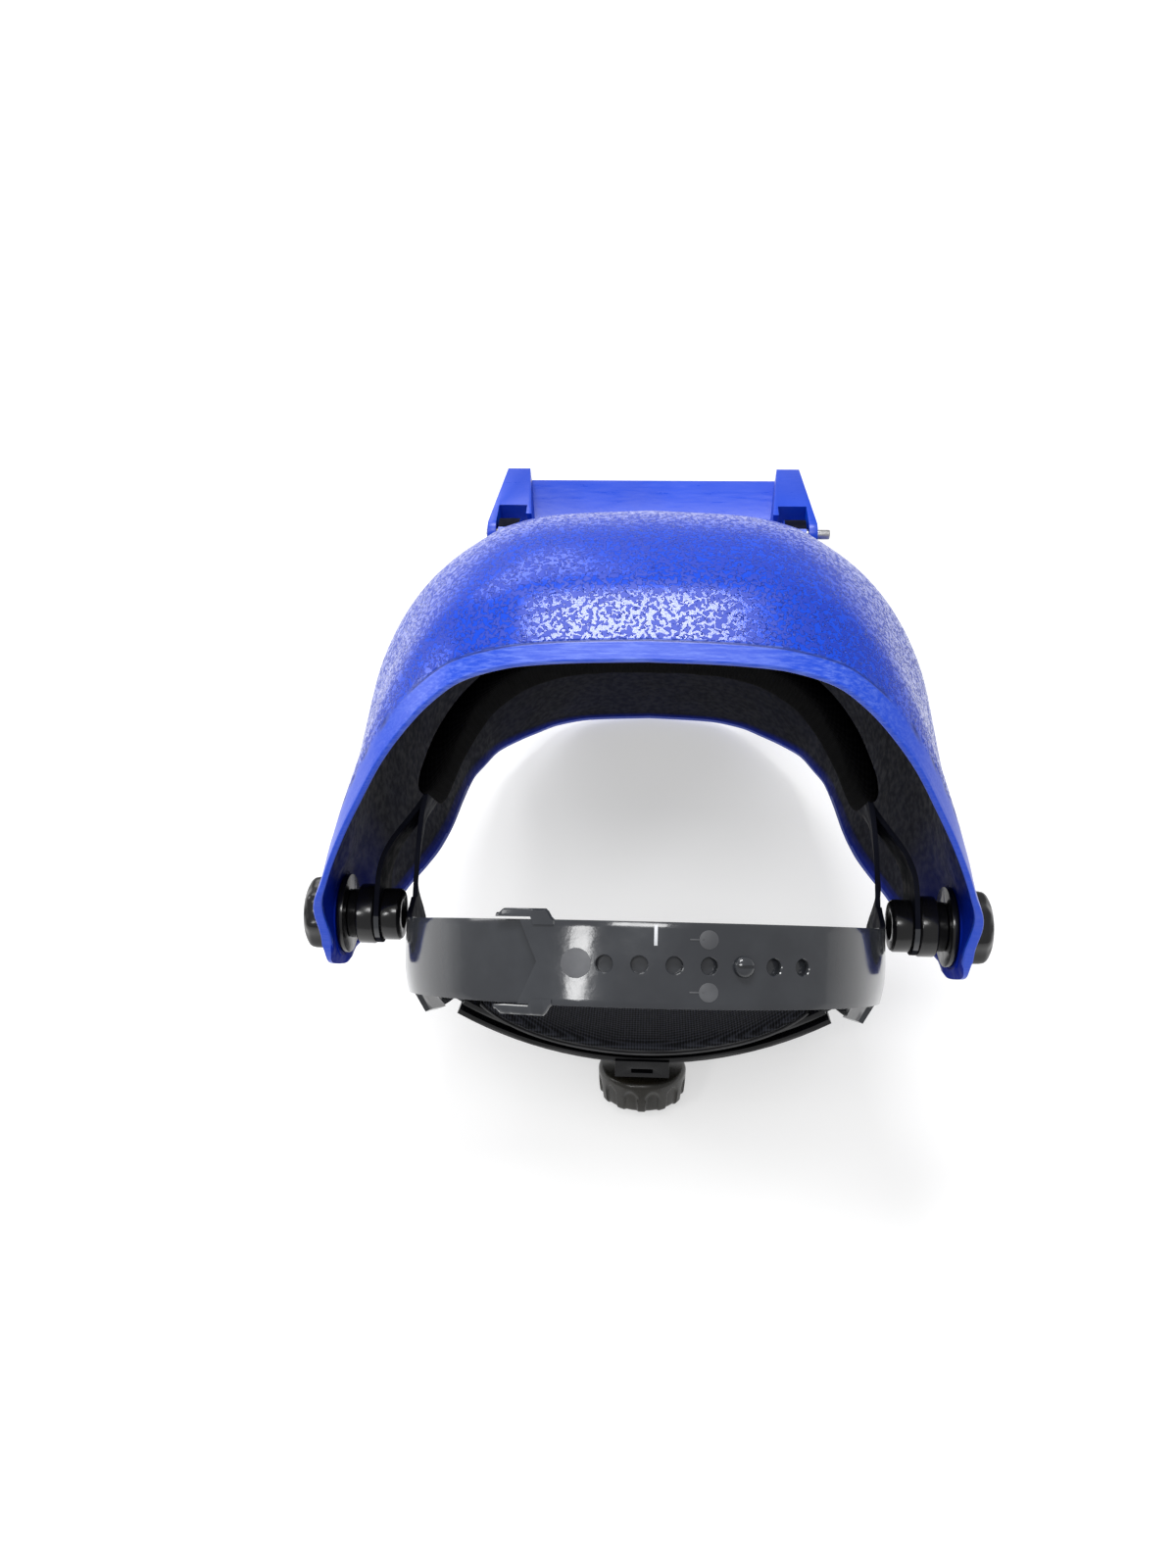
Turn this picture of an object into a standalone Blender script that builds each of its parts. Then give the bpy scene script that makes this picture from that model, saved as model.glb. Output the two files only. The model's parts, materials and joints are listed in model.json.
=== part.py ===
"""A blue welding mask: a moulded shell with a lift-up lens door, hung on ratchet headgear.

The shell, the door and the headgear are each modelled in a frame of their own, then leaned back to the pose in
which the mask stands on a table: on the chin of the shell and the rim of the ratchet knob. In every frame the
front is -Y and up is +Z. Lengths are in metres and angles in degrees.
"""
import math

import bmesh
import bpy
import numpy as np
from mathutils import Matrix, Vector

# Clearances
FIT_GAP = 0.0003
RUNNING_GAP = 0.0005
LAP_GAP = 0.0006

# Shell, measured from the pivot axis
CHIN_FORWARD = 0.164
CHIN_DROP = 0.180
CROWN_FORWARD = 0.054
CROWN_RISE = 0.105
SHELL_HALF_WIDTH = 0.1185
SHELL_WALL = 0.0025
RIM_THICKNESS = 0.0036
RIM_WIDTH = 0.008
EAR_RADIUS = 0.021
EAR_DISH = 0.0053
EAR_FLAT_RADIUS = 0.013
EAR_BLEND = 0.011
EAR_SEAT_DIAMETER = 0.0305
EAR_PAD_MARGIN = 0.0006
EAR_FACE = SHELL_HALF_WIDTH - EAR_DISH

# Lens door and the window frame behind it
DOOR_AXIS_FORWARD = 0.158
DOOR_AXIS_RISE = 0.010
DOOR_REACH = 0.041
DOOR_SIDE_MARGIN = 0.008
CHEEK_FLARE = 0.004
CHEEK_TIP_WIDTH = 0.0095
CHEEK_BASE_WIDTH = 0.018
CHEEK_TIP_DROP = 0.014
DOOR_PANEL_DROP = 0.0225
DOOR_HEIGHT = 0.072
DOOR_WALL = 0.0028
DOOR_FACE_THICKNESS = 0.0065
WINDOW_DROP = 0.058
PLATE_WIDTH = 0.108
PLATE_HEIGHT = 0.051
DOOR_TIP_HALF_WIDTH = PLATE_WIDTH / 2 + DOOR_SIDE_MARGIN
DOOR_BASE_HALF_WIDTH = DOOR_TIP_HALF_WIDTH + CHEEK_FLARE
CLEAR_PLATE_THICKNESS = 0.002
FILTER_THICKNESS = 0.003
PLATE_LEDGE = 0.005
FRAME_WALL = 0.0032
FRAME_BACK = 0.018
HINGE_PIN_DIAMETER = 0.004
HINGE_EYE_RADIUS = 0.0062
HINGE_EYE_WALL = 0.0034
LUG_WIDTH = 0.0085
PIN_OVERHANG = 0.0055

# Pivots, from the shell inwards: washer, barrel, block, arm and bolt head
SHEET = 0.0018
ARM_WIDTH = 0.015
ARM_EYE_RADIUS = 0.0105
BOLT_HEAD_DIAMETER = 0.019
BOLT_HEAD_LENGTH = 0.007
BOLT_DIAMETER = 0.006
BLOCK_DIAMETER = 0.022
BLOCK_LENGTH = 0.0066
BARREL_DIAMETER = 0.018
BARREL_LENGTH = 0.0032
WASHER_DIAMETER = 0.029
WASHER_THICKNESS = 0.002
TENSION_KNOB_DIAMETER = 0.028
TENSION_KNOB_LENGTH = 0.0105
BARREL_OUT = EAR_FACE - SHELL_WALL - RUNNING_GAP - WASHER_THICKNESS - FIT_GAP
ARM_PLANE = BARREL_OUT - BARREL_LENGTH - BLOCK_LENGTH - FIT_GAP - SHEET / 2

# Headgear, measured from the foot of the crown strap
HEADGEAR_LEAN = 14.0
STRAP_FOOT_FORWARD = -0.013
STRAP_FOOT_RISE = -0.006
HOOP_INSIDE_BOLTS = 0.0047
HOOP_HALF_WIDTH = ARM_PLANE - SHEET / 2 - FIT_GAP - BOLT_HEAD_LENGTH - HOOP_INSIDE_BOLTS
HOOP_FRONT = 0.114
HOOP_SQUARENESS = 3.0
SIDE_TOP = 0.008
SIDE_BOTTOM = -0.014
BROW_TOP = 0.015
BROW_BOTTOM = -0.015
STRAP_WIDTH = 0.025
STRAP_RISE = 0.084
STRAP_FILLET = 0.008
HOLE_DIAMETER = 0.005
HOLE_PITCH = 6.8
PIN_ANGLE = 19.9
TOP_STRAP_END = 25.0
LOW_STRAP_END = 23.5
SWEATBAND_HEIGHT = 0.042
SWEATBAND_THICKNESS = 0.009
SWEATBAND_END = 0.063

# Nape: ratchet housing, knob and pad
NAPE_LEAN = 22.9
NAPE_FORWARD = -0.033
NAPE_RISE = -0.089
NAPE_RADIUS = 0.150
NAPE_HALF_ANGLE = 30.0
HOUSING_HEIGHT = 0.030
HOUSING_DEPTH = 0.0072
GROOVE_WIDTH = 0.0026
TONGUE_HEIGHT = 0.018
PAD_HEIGHT = 0.045
PAD_THICKNESS = 0.005
PAD_HALF_ANGLE = 27.5
GEARBOX_WIDTH = 0.023
GEARBOX_HEIGHT = 0.034
GEARBOX_DEPTH = 0.0055
RATCHET_KNOB_DIAMETER = 0.037
RATCHET_KNOB_PROTRUSION = 0.030
RATCHET_COLLAR_DIAMETER = 0.019
KNOB_GRIPS = 12

# Centre line of the shell from chin to crown, as shares of the chin's forward distance and of the drop or the rise
CENTRE_LINE = ((1.0, -1.0), (0.994, -0.75), (0.985, -0.5), (0.976, -0.25), (0.970, -0.06), (0.951, 0.095),
               (0.909, 0.314), (0.835, 0.552), (0.744, 0.743), (0.622, 0.895), (0.482, 0.985), (0.329, 1.0))
# Half sections of the shell at six of those points: shares of the way from ear to centre, and of the half-width
SECTIONS = {
    0: ((0, 1.0), (.04, .965), (.08, .927), (.16, .88), (.24, .848), (.30, .812), (.36, .783), (.45, .764),
        (.55, .757), (.65, .744), (.72, .711), (.79, .672), (.86, .584), (.90, .516), (.95, .42), (.985, .27),
        (1, 0)),
    2: ((0, 1.0), (.05, .973), (.12, .935), (.22, .90), (.34, .868), (.46, .85), (.58, .84), (.68, .82),
        (.76, .78), (.83, .715), (.89, .625), (.94, .51), (.975, .37), (.995, .19), (1, 0)),
    5: ((0, 1.0), (.05, .985), (.12, .957), (.23, .938), (.365, .92), (.478, .907), (.567, .89), (.652, .87),
        (.736, .82), (.826, .74), (.893, .65), (.955, .55), (.98, .42), (.995, .22), (1, 0)),
    7: ((0, 1.0), (.08, .975), (.19, .941), (.318, .907), (.446, .878), (.535, .857), (.637, .827), (.732, .776),
        (.815, .705), (.885, .612), (.936, .51), (.965, .435), (.99, .27), (1, 0)),
    9: ((0, 1.005), (.12, .977), (.25, .935), (.37, .888), (.50, .832), (.62, .774), (.73, .71), (.82, .64),
        (.90, .545), (.955, .44), (.985, .33), (.997, .17), (1, 0)),
    11: ((0, 1.01), (.13, .99), (.27, .945), (.41, .886), (.55, .814), (.67, .747), (.78, .667), (.86, .595),
         (.93, .506), (.965, .414), (.982, .335), (.995, .17), (1, 0)),
}
SHELL_ROWS = 19
SHELL_COLUMNS = 19

# Colours as linear red, green and blue
BLUE = (0.012, 0.075, 0.62)
BLUE_SMOOTH = (0.02, 0.10, 0.66)
BLACK = (0.006, 0.006, 0.007)
STRAP_GREY = (0.035, 0.035, 0.038)
CLOTH = (0.012, 0.012, 0.013)
STEEL = (0.55, 0.55, 0.56)
CLEAR = (0.75, 0.80, 0.80)
DARK_GLASS = (0.01, 0.03, 0.015)


def clear_scene():
    for obj in list(bpy.data.objects):
        bpy.data.objects.remove(obj, do_unlink=True)


def material(name, colour, roughness, metallic=0.0):
    made = bpy.data.materials.new(name)
    made.use_nodes = True
    made.diffuse_color = (*colour, 1.0)
    shader = made.node_tree.nodes["Principled BSDF"]
    shader.inputs["Base Color"].default_value = (*colour, 1.0)
    shader.inputs["Roughness"].default_value = roughness
    shader.inputs["Metallic"].default_value = metallic
    return made


def empty(name, parent, forward=0.0, rise=0.0, lean=0.0):
    """A frame of its own: its origin given in the parent's frame, and leaned back by an angle."""
    made = bpy.data.objects.new(name, None)
    bpy.context.scene.collection.objects.link(made)
    made.empty_display_size = 0.02
    made.parent = parent
    made.location = (0.0, -forward, rise)
    made.rotation_euler = (-math.radians(lean), 0.0, 0.0)
    return made


def add_object(name, bm, parent, look=None, smooth_angle=35.0):
    bmesh.ops.remove_doubles(bm, verts=bm.verts, dist=1e-6)
    bmesh.ops.recalc_face_normals(bm, faces=bm.faces)
    mesh = bpy.data.meshes.new(name)
    bm.to_mesh(mesh)
    bm.free()
    mesh.shade_smooth()
    mesh.set_sharp_from_angle(angle=math.radians(smooth_angle))
    made = bpy.data.objects.new(name, mesh)
    bpy.context.scene.collection.objects.link(made)
    made.parent = parent
    if look:
        mesh.materials.append(look)
    return made


def combine(target, operation, *helpers):
    """Joins helpers to the target or cuts them from it, and hides them."""
    for helper in helpers:
        modifier = target.modifiers.new(helper.name, "BOOLEAN")
        modifier.operation = operation
        modifier.solver = "EXACT"
        modifier.object = helper
        helper.hide_render = True
        helper.display_type = "WIRE"


def box(bm, x, forward, rise):
    """A block between two values of each coordinate, with forward measured along -Y."""
    lo = Vector((min(x), -max(forward), min(rise)))
    hi = Vector((max(x), -min(forward), max(rise)))
    matrix = Matrix.Translation((lo + hi) / 2) @ Matrix.Diagonal((*(hi - lo), 1.0))
    bmesh.ops.create_cube(bm, size=1.0, matrix=matrix)
    return bm


def prism(bm, outline, x0, x1, outline_at_x1=None):
    """A side-view outline of (forward, rise) points stretched from x0 to x1."""
    first = [bm.verts.new((x0, -f, u)) for f, u in outline]
    second = [bm.verts.new((x1, -f, u)) for f, u in outline_at_x1 or outline]
    bm.faces.new(first)
    bm.faces.new(second)
    for i in range(len(first)):
        j = (i + 1) % len(first)
        bm.faces.new((first[i], first[j], second[j], second[i]))
    return bm


def arc_points(centre, radius, start, end, count):
    """Points of a side-view circle from one angle to another, measured from forward towards up."""
    angles = [math.radians(start + (end - start) * i / (count - 1)) for i in range(count)]
    return [(centre[0] + radius * math.cos(a), centre[1] + radius * math.sin(a)) for a in angles]


def turned(bm, profile, segments, place, grip=None):
    """A body of revolution: (distance along the axis, radius) from end to end, both ends on the axis or closed flat.

    place maps (along, across 1, across 2) to the frame, and grip scales the radius by row and angle."""
    rings = []
    for row, (along, radius) in enumerate(profile):
        if radius < 1e-7:
            rings.append([bm.verts.new(place(along, 0.0, 0.0))])
            continue
        ring = []
        for i in range(segments):
            angle = 2 * math.pi * i / segments
            r = radius * (grip(row, angle) if grip else 1.0)
            ring.append(bm.verts.new(place(along, r * math.cos(angle), r * math.sin(angle))))
        rings.append(ring)
    for a, b in zip(rings, rings[1:]):
        for i in range(segments):
            j = (i + 1) % segments
            corners = [a[i % len(a)], a[j % len(a)], b[j % len(b)], b[i % len(b)]]
            unique = list(dict.fromkeys(corners))
            if len(unique) > 2:
                bm.faces.new(unique)
    for ring in (rings[0], rings[-1]):
        if len(ring) > 1:
            bm.faces.new(ring)
    return bm


def tube(bm, profile, segments, place, grip=None):
    """A ring-shaped body of revolution from a closed profile of (along, radius) points."""
    rings = []
    for row, (along, radius) in enumerate(profile):
        ring = []
        for i in range(segments):
            angle = 2 * math.pi * i / segments
            r = radius * (grip(row, angle) if grip else 1.0)
            ring.append(bm.verts.new(place(along, r * math.cos(angle), r * math.sin(angle))))
        rings.append(ring)
    for k, a in enumerate(rings):
        b = rings[(k + 1) % len(rings)]
        for i in range(segments):
            j = (i + 1) % segments
            bm.faces.new((a[i], a[j], b[j], b[i]))
    return bm


def along_x(side):
    """Places a turned piece on an axis parallel to X, growing outwards on the given side."""
    return lambda along, p, q: (side * along, p, q)


def smoothstep(value):
    value = min(1.0, max(0.0, value))
    return value * value * (3 - 2 * value)


def slopes(x, y):
    """Slopes of a smooth curve through the points that never overshoots them."""
    h = np.diff(x)
    d = np.diff(y, axis=0) / h[:, None]
    m = np.zeros_like(y)
    m[0], m[-1] = d[0], d[-1]
    same = d[:-1] * d[1:] > 0
    w1, w2 = 2 * h[1:] + h[:-1], h[1:] + 2 * h[:-1]
    safe0 = np.where(same, d[:-1], 1.0)
    safe1 = np.where(same, d[1:], 1.0)
    mean = (w1 + w2)[:, None] / (w1[:, None] / safe0 + w2[:, None] / safe1)
    m[1:-1] = np.where(same, mean, 0.0)
    return m


def smooth_through(x, y, at):
    """Values at new places of the smooth curve through rows of y."""
    x, y = np.asarray(x, float), np.asarray(y, float).reshape(len(x), -1)
    m = slopes(x, y)
    i = np.clip(np.searchsorted(x, at) - 1, 0, len(x) - 2)
    h = x[i + 1] - x[i]
    s = ((at - x[i]) / h)[:, None]
    h = h[:, None]
    return ((1 + 2 * s) * (1 - s) ** 2 * y[i] + s * (1 - s) ** 2 * h * m[i]
            + s * s * (3 - 2 * s) * y[i + 1] + s * s * (s - 1) * h * m[i + 1])


def lengths_along(points):
    steps = np.linalg.norm(np.diff(points, axis=0), axis=1)
    return np.concatenate([[0.0], np.cumsum(steps)])


def even_points(points, count):
    """The same number of points, evenly spaced along the smooth curve through a list of points."""
    points = np.asarray(points, float)
    at = lengths_along(points)
    fine = smooth_through(at, points, np.linspace(0, at[-1], 400))
    at = lengths_along(fine)
    wanted = np.linspace(0, at[-1], count)
    return np.column_stack([np.interp(wanted, at, fine[:, k]) for k in range(fine.shape[1])])


def centre_point(share_forward, share_rise):
    rise = share_rise * (CROWN_RISE if share_rise > 0 else CHIN_DROP)
    return share_forward * CHIN_FORWARD, rise


def shell_grid():
    """Outer surface of the shell: rows from the lower edge to the rim, columns from the +X ear to the -X ear."""
    centre = np.array([centre_point(*p) for p in CENTRE_LINE])
    centre[-1] = CROWN_FORWARD, CROWN_RISE
    at = lengths_along(centre)
    keys = sorted(SECTIONS)
    share = at / at[-1]
    rows = np.linspace(0, 1, SHELL_ROWS) ** 0.8
    centre_rows = smooth_through(share, centre, rows)
    halves = np.array([even_points(SECTIONS[k], SHELL_COLUMNS + 1).ravel() for k in keys])
    halves = smooth_through(share[list(keys)], halves, rows).reshape(len(rows), -1, 2)
    # The ends of the rows stand round the ear, from the tangent of the lower edge to the tangent of the rim.
    def tangent(point, turn):
        distance = math.hypot(*point)
        return math.degrees(math.atan2(point[1], point[0])) + turn * math.degrees(math.acos(EAR_RADIUS / distance))
    low = tangent(centre[0], -1)
    high = tangent(centre[-1], 1) - 360
    grid = np.zeros((len(rows), 2 * SHELL_COLUMNS + 1, 3))
    for i, t in enumerate(rows):
        angle = math.radians(low + (high - low) * t)
        ear = np.array([math.cos(angle), math.sin(angle)]) * EAR_RADIUS
        for j, (inward, wide) in enumerate(halves[i]):
            f, u = ear + (centre_rows[i] - ear) * inward
            x = wide * SHELL_HALF_WIDTH
            from_axis = math.hypot(f, u)
            if wide > 0.8:
                blend = smoothstep((from_axis - EAR_FLAT_RADIUS) / EAR_BLEND)
                dish = EAR_FACE - EAR_PAD_MARGIN
                x = dish + (x - dish) * blend
            grid[i, j] = x, -f, u
            grid[i, 2 * SHELL_COLUMNS - j] = -x, -f, u
    return grid


def grid_normals(grid):
    """Unit normals of a grid of points, pointing to the outside of the shell."""
    across = np.gradient(grid, axis=1)
    along = np.gradient(grid, axis=0)
    n = np.cross(along, across)
    return n / np.linalg.norm(n, axis=2, keepdims=True)


def wall_solid(bm, outer, inner):
    """A closed wall between two grids of the same size."""
    rows, columns = outer.shape[:2]
    a = [[bm.verts.new(outer[i, j]) for j in range(columns)] for i in range(rows)]
    b = [[bm.verts.new(inner[i, j]) for j in range(columns)] for i in range(rows)]
    for i in range(rows - 1):
        for j in range(columns - 1):
            bm.faces.new((a[i][j], a[i][j + 1], a[i + 1][j + 1], a[i + 1][j]))
            bm.faces.new((b[i][j], b[i + 1][j], b[i + 1][j + 1], b[i][j + 1]))
    edge = [(0, j) for j in range(columns)] + [(i, columns - 1) for i in range(1, rows)]
    edge += [(rows - 1, j) for j in range(columns - 2, -1, -1)] + [(i, 0) for i in range(rows - 2, 0, -1)]
    for (i, j), (k, m) in zip(edge, edge[1:] + edge[:1]):
        bm.faces.new((a[i][j], b[i][j], b[k][m], a[k][m]))
    return bm


def build_shell(parent, look):
    grid = shell_grid()
    normals = grid_normals(grid)
    if normals[0, SHELL_COLUMNS][1] > 0:
        normals = -normals
    rim = grid[-1]
    thickness = np.zeros(grid.shape[:2])
    for i in range(grid.shape[0]):
        for j in range(grid.shape[1]):
            near = min(np.linalg.norm(rim[j] - grid[i, j]), np.linalg.norm(grid[0, j] - grid[i, j]))
            thickness[i, j] = RIM_THICKNESS + (SHELL_WALL - RIM_THICKNESS) * smoothstep(near / RIM_WIDTH)
    inner = grid - normals * thickness[..., None]
    shell = add_object("mask_shell", wall_solid(bmesh.new(), grid, inner), parent, look)

    window_low = DOOR_AXIS_RISE - WINDOW_DROP
    pocket_w = PLATE_WIDTH / 2 + FIT_GAP
    pocket_h = PLATE_HEIGHT / 2 + FIT_GAP
    frame_w = pocket_w + FRAME_WALL
    frame_h = pocket_h + FRAME_WALL
    frame_front = frame_front_face()
    behind = CHIN_FORWARD - FRAME_BACK
    frame = bmesh.new()
    box(frame, (-frame_w, frame_w), (behind, frame_front), (window_low - frame_h, window_low + frame_h))
    lugs = bmesh.new()
    eye = (DOOR_AXIS_FORWARD, DOOR_AXIS_RISE)
    reach = HINGE_EYE_RADIUS - RUNNING_GAP
    root = DOOR_AXIS_FORWARD - 1.6 * HINGE_EYE_RADIUS
    outline = arc_points(eye, reach, -100, 100, 13)
    outline += [(root, DOOR_AXIS_RISE + reach), (root, DOOR_AXIS_RISE - reach)]
    for side in (-1, 1):
        outside = side * (DOOR_BASE_HALF_WIDTH - HINGE_EYE_WALL - 2 * RUNNING_GAP)
        prism(lugs, outline, outside, outside - side * LUG_WIDTH)
    # flat pads in the ears, with round seats for the washer inside and the tension knob outside
    pads, seats = bmesh.new(), bmesh.new()
    seat, ear_inside = EAR_SEAT_DIAMETER / 2, EAR_FACE - SHELL_WALL
    for side in (-1, 1):
        place = along_x(side)
        turned(pads, ((ear_inside - EAR_PAD_MARGIN / 2, 1.04 * seat), (EAR_FACE + EAR_PAD_MARGIN / 2, 1.04 * seat)),
               28, place)
        turned(seats, ((0.85 * EAR_FACE, seat), (ear_inside, seat)), 28, place)
        turned(seats, ((EAR_FACE, seat), (1.12 * EAR_FACE, seat)), 28, place)
    combine(shell, "UNION", add_object("frame_block", frame, parent), add_object("hinge_lugs", lugs, parent),
            add_object("ear_pads", pads, parent))
    combine(shell, "DIFFERENCE", add_object("ear_seats", seats, parent))

    cuts = bmesh.new()
    sight_w = PLATE_WIDTH / 2 - PLATE_LEDGE
    sight_h = PLATE_HEIGHT / 2 - PLATE_LEDGE
    box(cuts, (-sight_w, sight_w), (0.5 * CHIN_FORWARD, frame_front + DOOR_WALL),
        (window_low - sight_h, window_low + sight_h))
    pocket = bmesh.new()
    box(pocket, (-pocket_w, pocket_w), (frame_front - CLEAR_PLATE_THICKNESS - FIT_GAP, frame_front + DOOR_WALL),
        (window_low - pocket_h, window_low + pocket_h))
    bores = bmesh.new()
    for side in (-1, 1):
        hole = BOLT_DIAMETER / 2 + 2 * RUNNING_GAP
        turned(bores, ((0.8 * EAR_FACE, hole), (1.2 * EAR_FACE, hole)), 24, along_x(side))
    pins = bmesh.new()
    pin_hole = HINGE_PIN_DIAMETER / 2 + FIT_GAP
    for side in (-1, 1):
        place = along_x(side)
        turned(pins, ((0.6 * DOOR_BASE_HALF_WIDTH, pin_hole), (1.2 * DOOR_BASE_HALF_WIDTH, pin_hole)), 16,
               lambda a, p, q, place=place: (Vector(place(a, p, q))
                                             + Vector((0, -DOOR_AXIS_FORWARD, DOOR_AXIS_RISE))))
    combine(shell, "DIFFERENCE", add_object("window_cut", cuts, parent), add_object("plate_pocket", pocket, parent),
            add_object("ear_bores", bores, parent), add_object("lug_bores", pins, parent))
    return shell


def frame_front_face():
    """Forward distance of the window frame's front, behind the filter plate's back."""
    return DOOR_AXIS_FORWARD + DOOR_REACH - DOOR_FACE_THICKNESS - 2 * DOOR_WALL


def build_plates(shell_frame, door_frame, clear, dark):
    low = DOOR_AXIS_RISE - WINDOW_DROP
    front = frame_front_face()
    bm = box(bmesh.new(), (-PLATE_WIDTH / 2, PLATE_WIDTH / 2), (front - CLEAR_PLATE_THICKNESS, front),
             (low - PLATE_HEIGHT / 2, low + PLATE_HEIGHT / 2))
    add_object("clear_plate", bm, shell_frame, clear)
    back = DOOR_REACH - DOOR_FACE_THICKNESS
    bm = box(bmesh.new(), (-PLATE_WIDTH / 2, PLATE_WIDTH / 2), (back, back + FILTER_THICKNESS),
             (-WINDOW_DROP - PLATE_HEIGHT / 2, -WINDOW_DROP + PLATE_HEIGHT / 2))
    add_object("filter_plate", bm, door_frame, dark)


def build_door(parent, look):
    """The lens door, measured from its hinge axis."""
    tip, half = DOOR_REACH, DOOR_TIP_HALF_WIDTH
    top, bottom = -DOOR_PANEL_DROP, -DOOR_PANEL_DROP - DOOR_HEIGHT
    side_back = 0.29 * DOOR_REACH
    body = bmesh.new()
    box(body, (-half, half), (side_back, tip), (bottom, top))
    door = add_object("lens_door", body, parent, look)
    inside = bmesh.new()
    box(inside, (-half + DOOR_WALL, half - DOOR_WALL), (-tip, tip - DOOR_FACE_THICKNESS),
        (bottom + DOOR_WALL, top - DOOR_WALL))
    back_of_floor = bmesh.new()
    box(back_of_floor, (-half + DOOR_WALL, half - DOOR_WALL), (-tip, 0.6 * tip), (2 * bottom, bottom + 2 * DOOR_WALL))
    combine(door, "DIFFERENCE", add_object("door_hollow", inside, parent),
            add_object("door_floor_cut", back_of_floor, parent))

    cheeks = bmesh.new()
    base_outer, base_inner = DOOR_BASE_HALF_WIDTH, DOOR_BASE_HALF_WIDTH - CHEEK_BASE_WIDTH
    tip_outer, tip_inner = half, half - CHEEK_TIP_WIDTH
    eye = arc_points((0.0, 0.0), HINGE_EYE_RADIUS, 78, 282, 11)
    under = top - 0.7 * DOOR_WALL
    for side in (-1, 1):
        outline = eye + [(side_back, under), (tip, under), (tip, -CHEEK_TIP_DROP)]
        outer = [side * (base_outer + (tip_outer - base_outer) * max(0.0, f) / tip) for f, _ in outline]
        inner = [side * (base_inner + (tip_inner - base_inner) * max(0.0, f) / tip) for f, _ in outline]
        a = [cheeks.verts.new((x, -f, u)) for x, (f, u) in zip(outer, outline)]
        b = [cheeks.verts.new((x, -f, u)) for x, (f, u) in zip(inner, outline)]
        cheeks.faces.new(a)
        cheeks.faces.new(b)
        for i in range(len(a)):
            j = (i + 1) % len(a)
            cheeks.faces.new((a[i], a[j], b[j], b[i]))
    panel = bmesh.new()
    box(panel, (-base_inner - DOOR_WALL, base_inner + DOOR_WALL), (0.12 * tip, 0.5 * tip), (top - DOOR_WALL, top))
    combine(door, "UNION", add_object("door_cheeks", cheeks, parent), add_object("door_panel", panel, parent))

    slots = bmesh.new()
    bores = bmesh.new()
    for side in (-1, 1):
        wall = side * (base_outer - HINGE_EYE_WALL)
        box(slots, (wall, wall - side * (LUG_WIDTH + 6 * RUNNING_GAP)), (-2 * HINGE_EYE_RADIUS, 0.32 * tip),
            (2 * HINGE_EYE_RADIUS, top + DOOR_WALL))
        hole = HINGE_PIN_DIAMETER / 2 + RUNNING_GAP
        turned(bores, ((0.8 * base_inner, hole), (1.2 * base_outer, hole)), 20, along_x(side))
    relief = bmesh.new()
    for side in (-1, 1):
        wall = side * (base_outer - HINGE_EYE_WALL)
        box(relief, (wall, side * 0.9 * base_inner), (-2 * HINGE_EYE_RADIUS, 0.17 * tip),
            (2 * HINGE_EYE_RADIUS, 1.2 * top))
    sight = bmesh.new()
    box(sight, (-PLATE_WIDTH / 2 + PLATE_LEDGE, PLATE_WIDTH / 2 - PLATE_LEDGE), (0.5 * tip, 1.2 * tip),
        (-WINDOW_DROP - PLATE_HEIGHT / 2 + PLATE_LEDGE, -WINDOW_DROP + PLATE_HEIGHT / 2 - PLATE_LEDGE))
    pocket = bmesh.new()
    pocket_w, pocket_h = PLATE_WIDTH / 2 + FIT_GAP, PLATE_HEIGHT / 2 + FIT_GAP
    box(pocket, (-pocket_w, pocket_w), (0.5 * tip, tip - DOOR_FACE_THICKNESS + FILTER_THICKNESS + FIT_GAP),
        (-WINDOW_DROP - pocket_h, -WINDOW_DROP + pocket_h))
    combine(door, "DIFFERENCE", add_object("cheek_slots", slots, parent), add_object("cheek_bores", bores, parent),
            add_object("cheek_relief", relief, parent), add_object("door_sight", sight, parent),
            add_object("filter_pocket", pocket, parent))
    return door


def build_hinge_pins(parent, look):
    """Two short steel rods; only the one on the -X side stands out of its cheek."""
    for side, name, beyond in ((1, "hinge_pin_left", 2 * RUNNING_GAP), (-1, "hinge_pin_right", PIN_OVERHANG)):
        start = DOOR_BASE_HALF_WIDTH - HINGE_EYE_WALL - LUG_WIDTH - 2 * RUNNING_GAP
        end = DOOR_BASE_HALF_WIDTH + beyond
        radius = HINGE_PIN_DIAMETER / 2
        chamfer = 0.15 * radius
        profile = ((start, radius), (end - chamfer, radius), (end, radius - chamfer))
        pin = add_object(name, turned(bmesh.new(), profile, 20, along_x(side)), parent, look)
        pin.location = (0.0, -DOOR_AXIS_FORWARD, DOOR_AXIS_RISE)


def hoop_x(forward, outset=0.0):
    """Half-width of the head hoop at a forward distance."""
    a, b = HOOP_HALF_WIDTH + outset, HOOP_FRONT + outset
    share = max(0.0, forward) / b
    return a * max(0.0, 1 - share ** HOOP_SQUARENESS) ** (1 / HOOP_SQUARENESS)


def hoop_line(start, count, outset=0.0):
    """Plan points (x, forward) of the hoop from +X side to -X side, evenly spaced from the start distance."""
    b = HOOP_FRONT + outset
    first = math.asin(min(1.0, (start / b)) ** (HOOP_SQUARENESS / 2))
    angles = np.linspace(first, math.pi - first, 1201)
    power = 2 / HOOP_SQUARENESS
    x = (HOOP_HALF_WIDTH + outset) * np.sign(np.cos(angles)) * np.abs(np.cos(angles)) ** power
    f = b * np.abs(np.sin(angles)) ** power
    fine = np.column_stack([x, f])
    at = lengths_along(fine)
    wanted = np.linspace(0, at[-1], count)
    return np.column_stack([np.interp(wanted, at, fine[:, k]) for k in range(2)])


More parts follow.
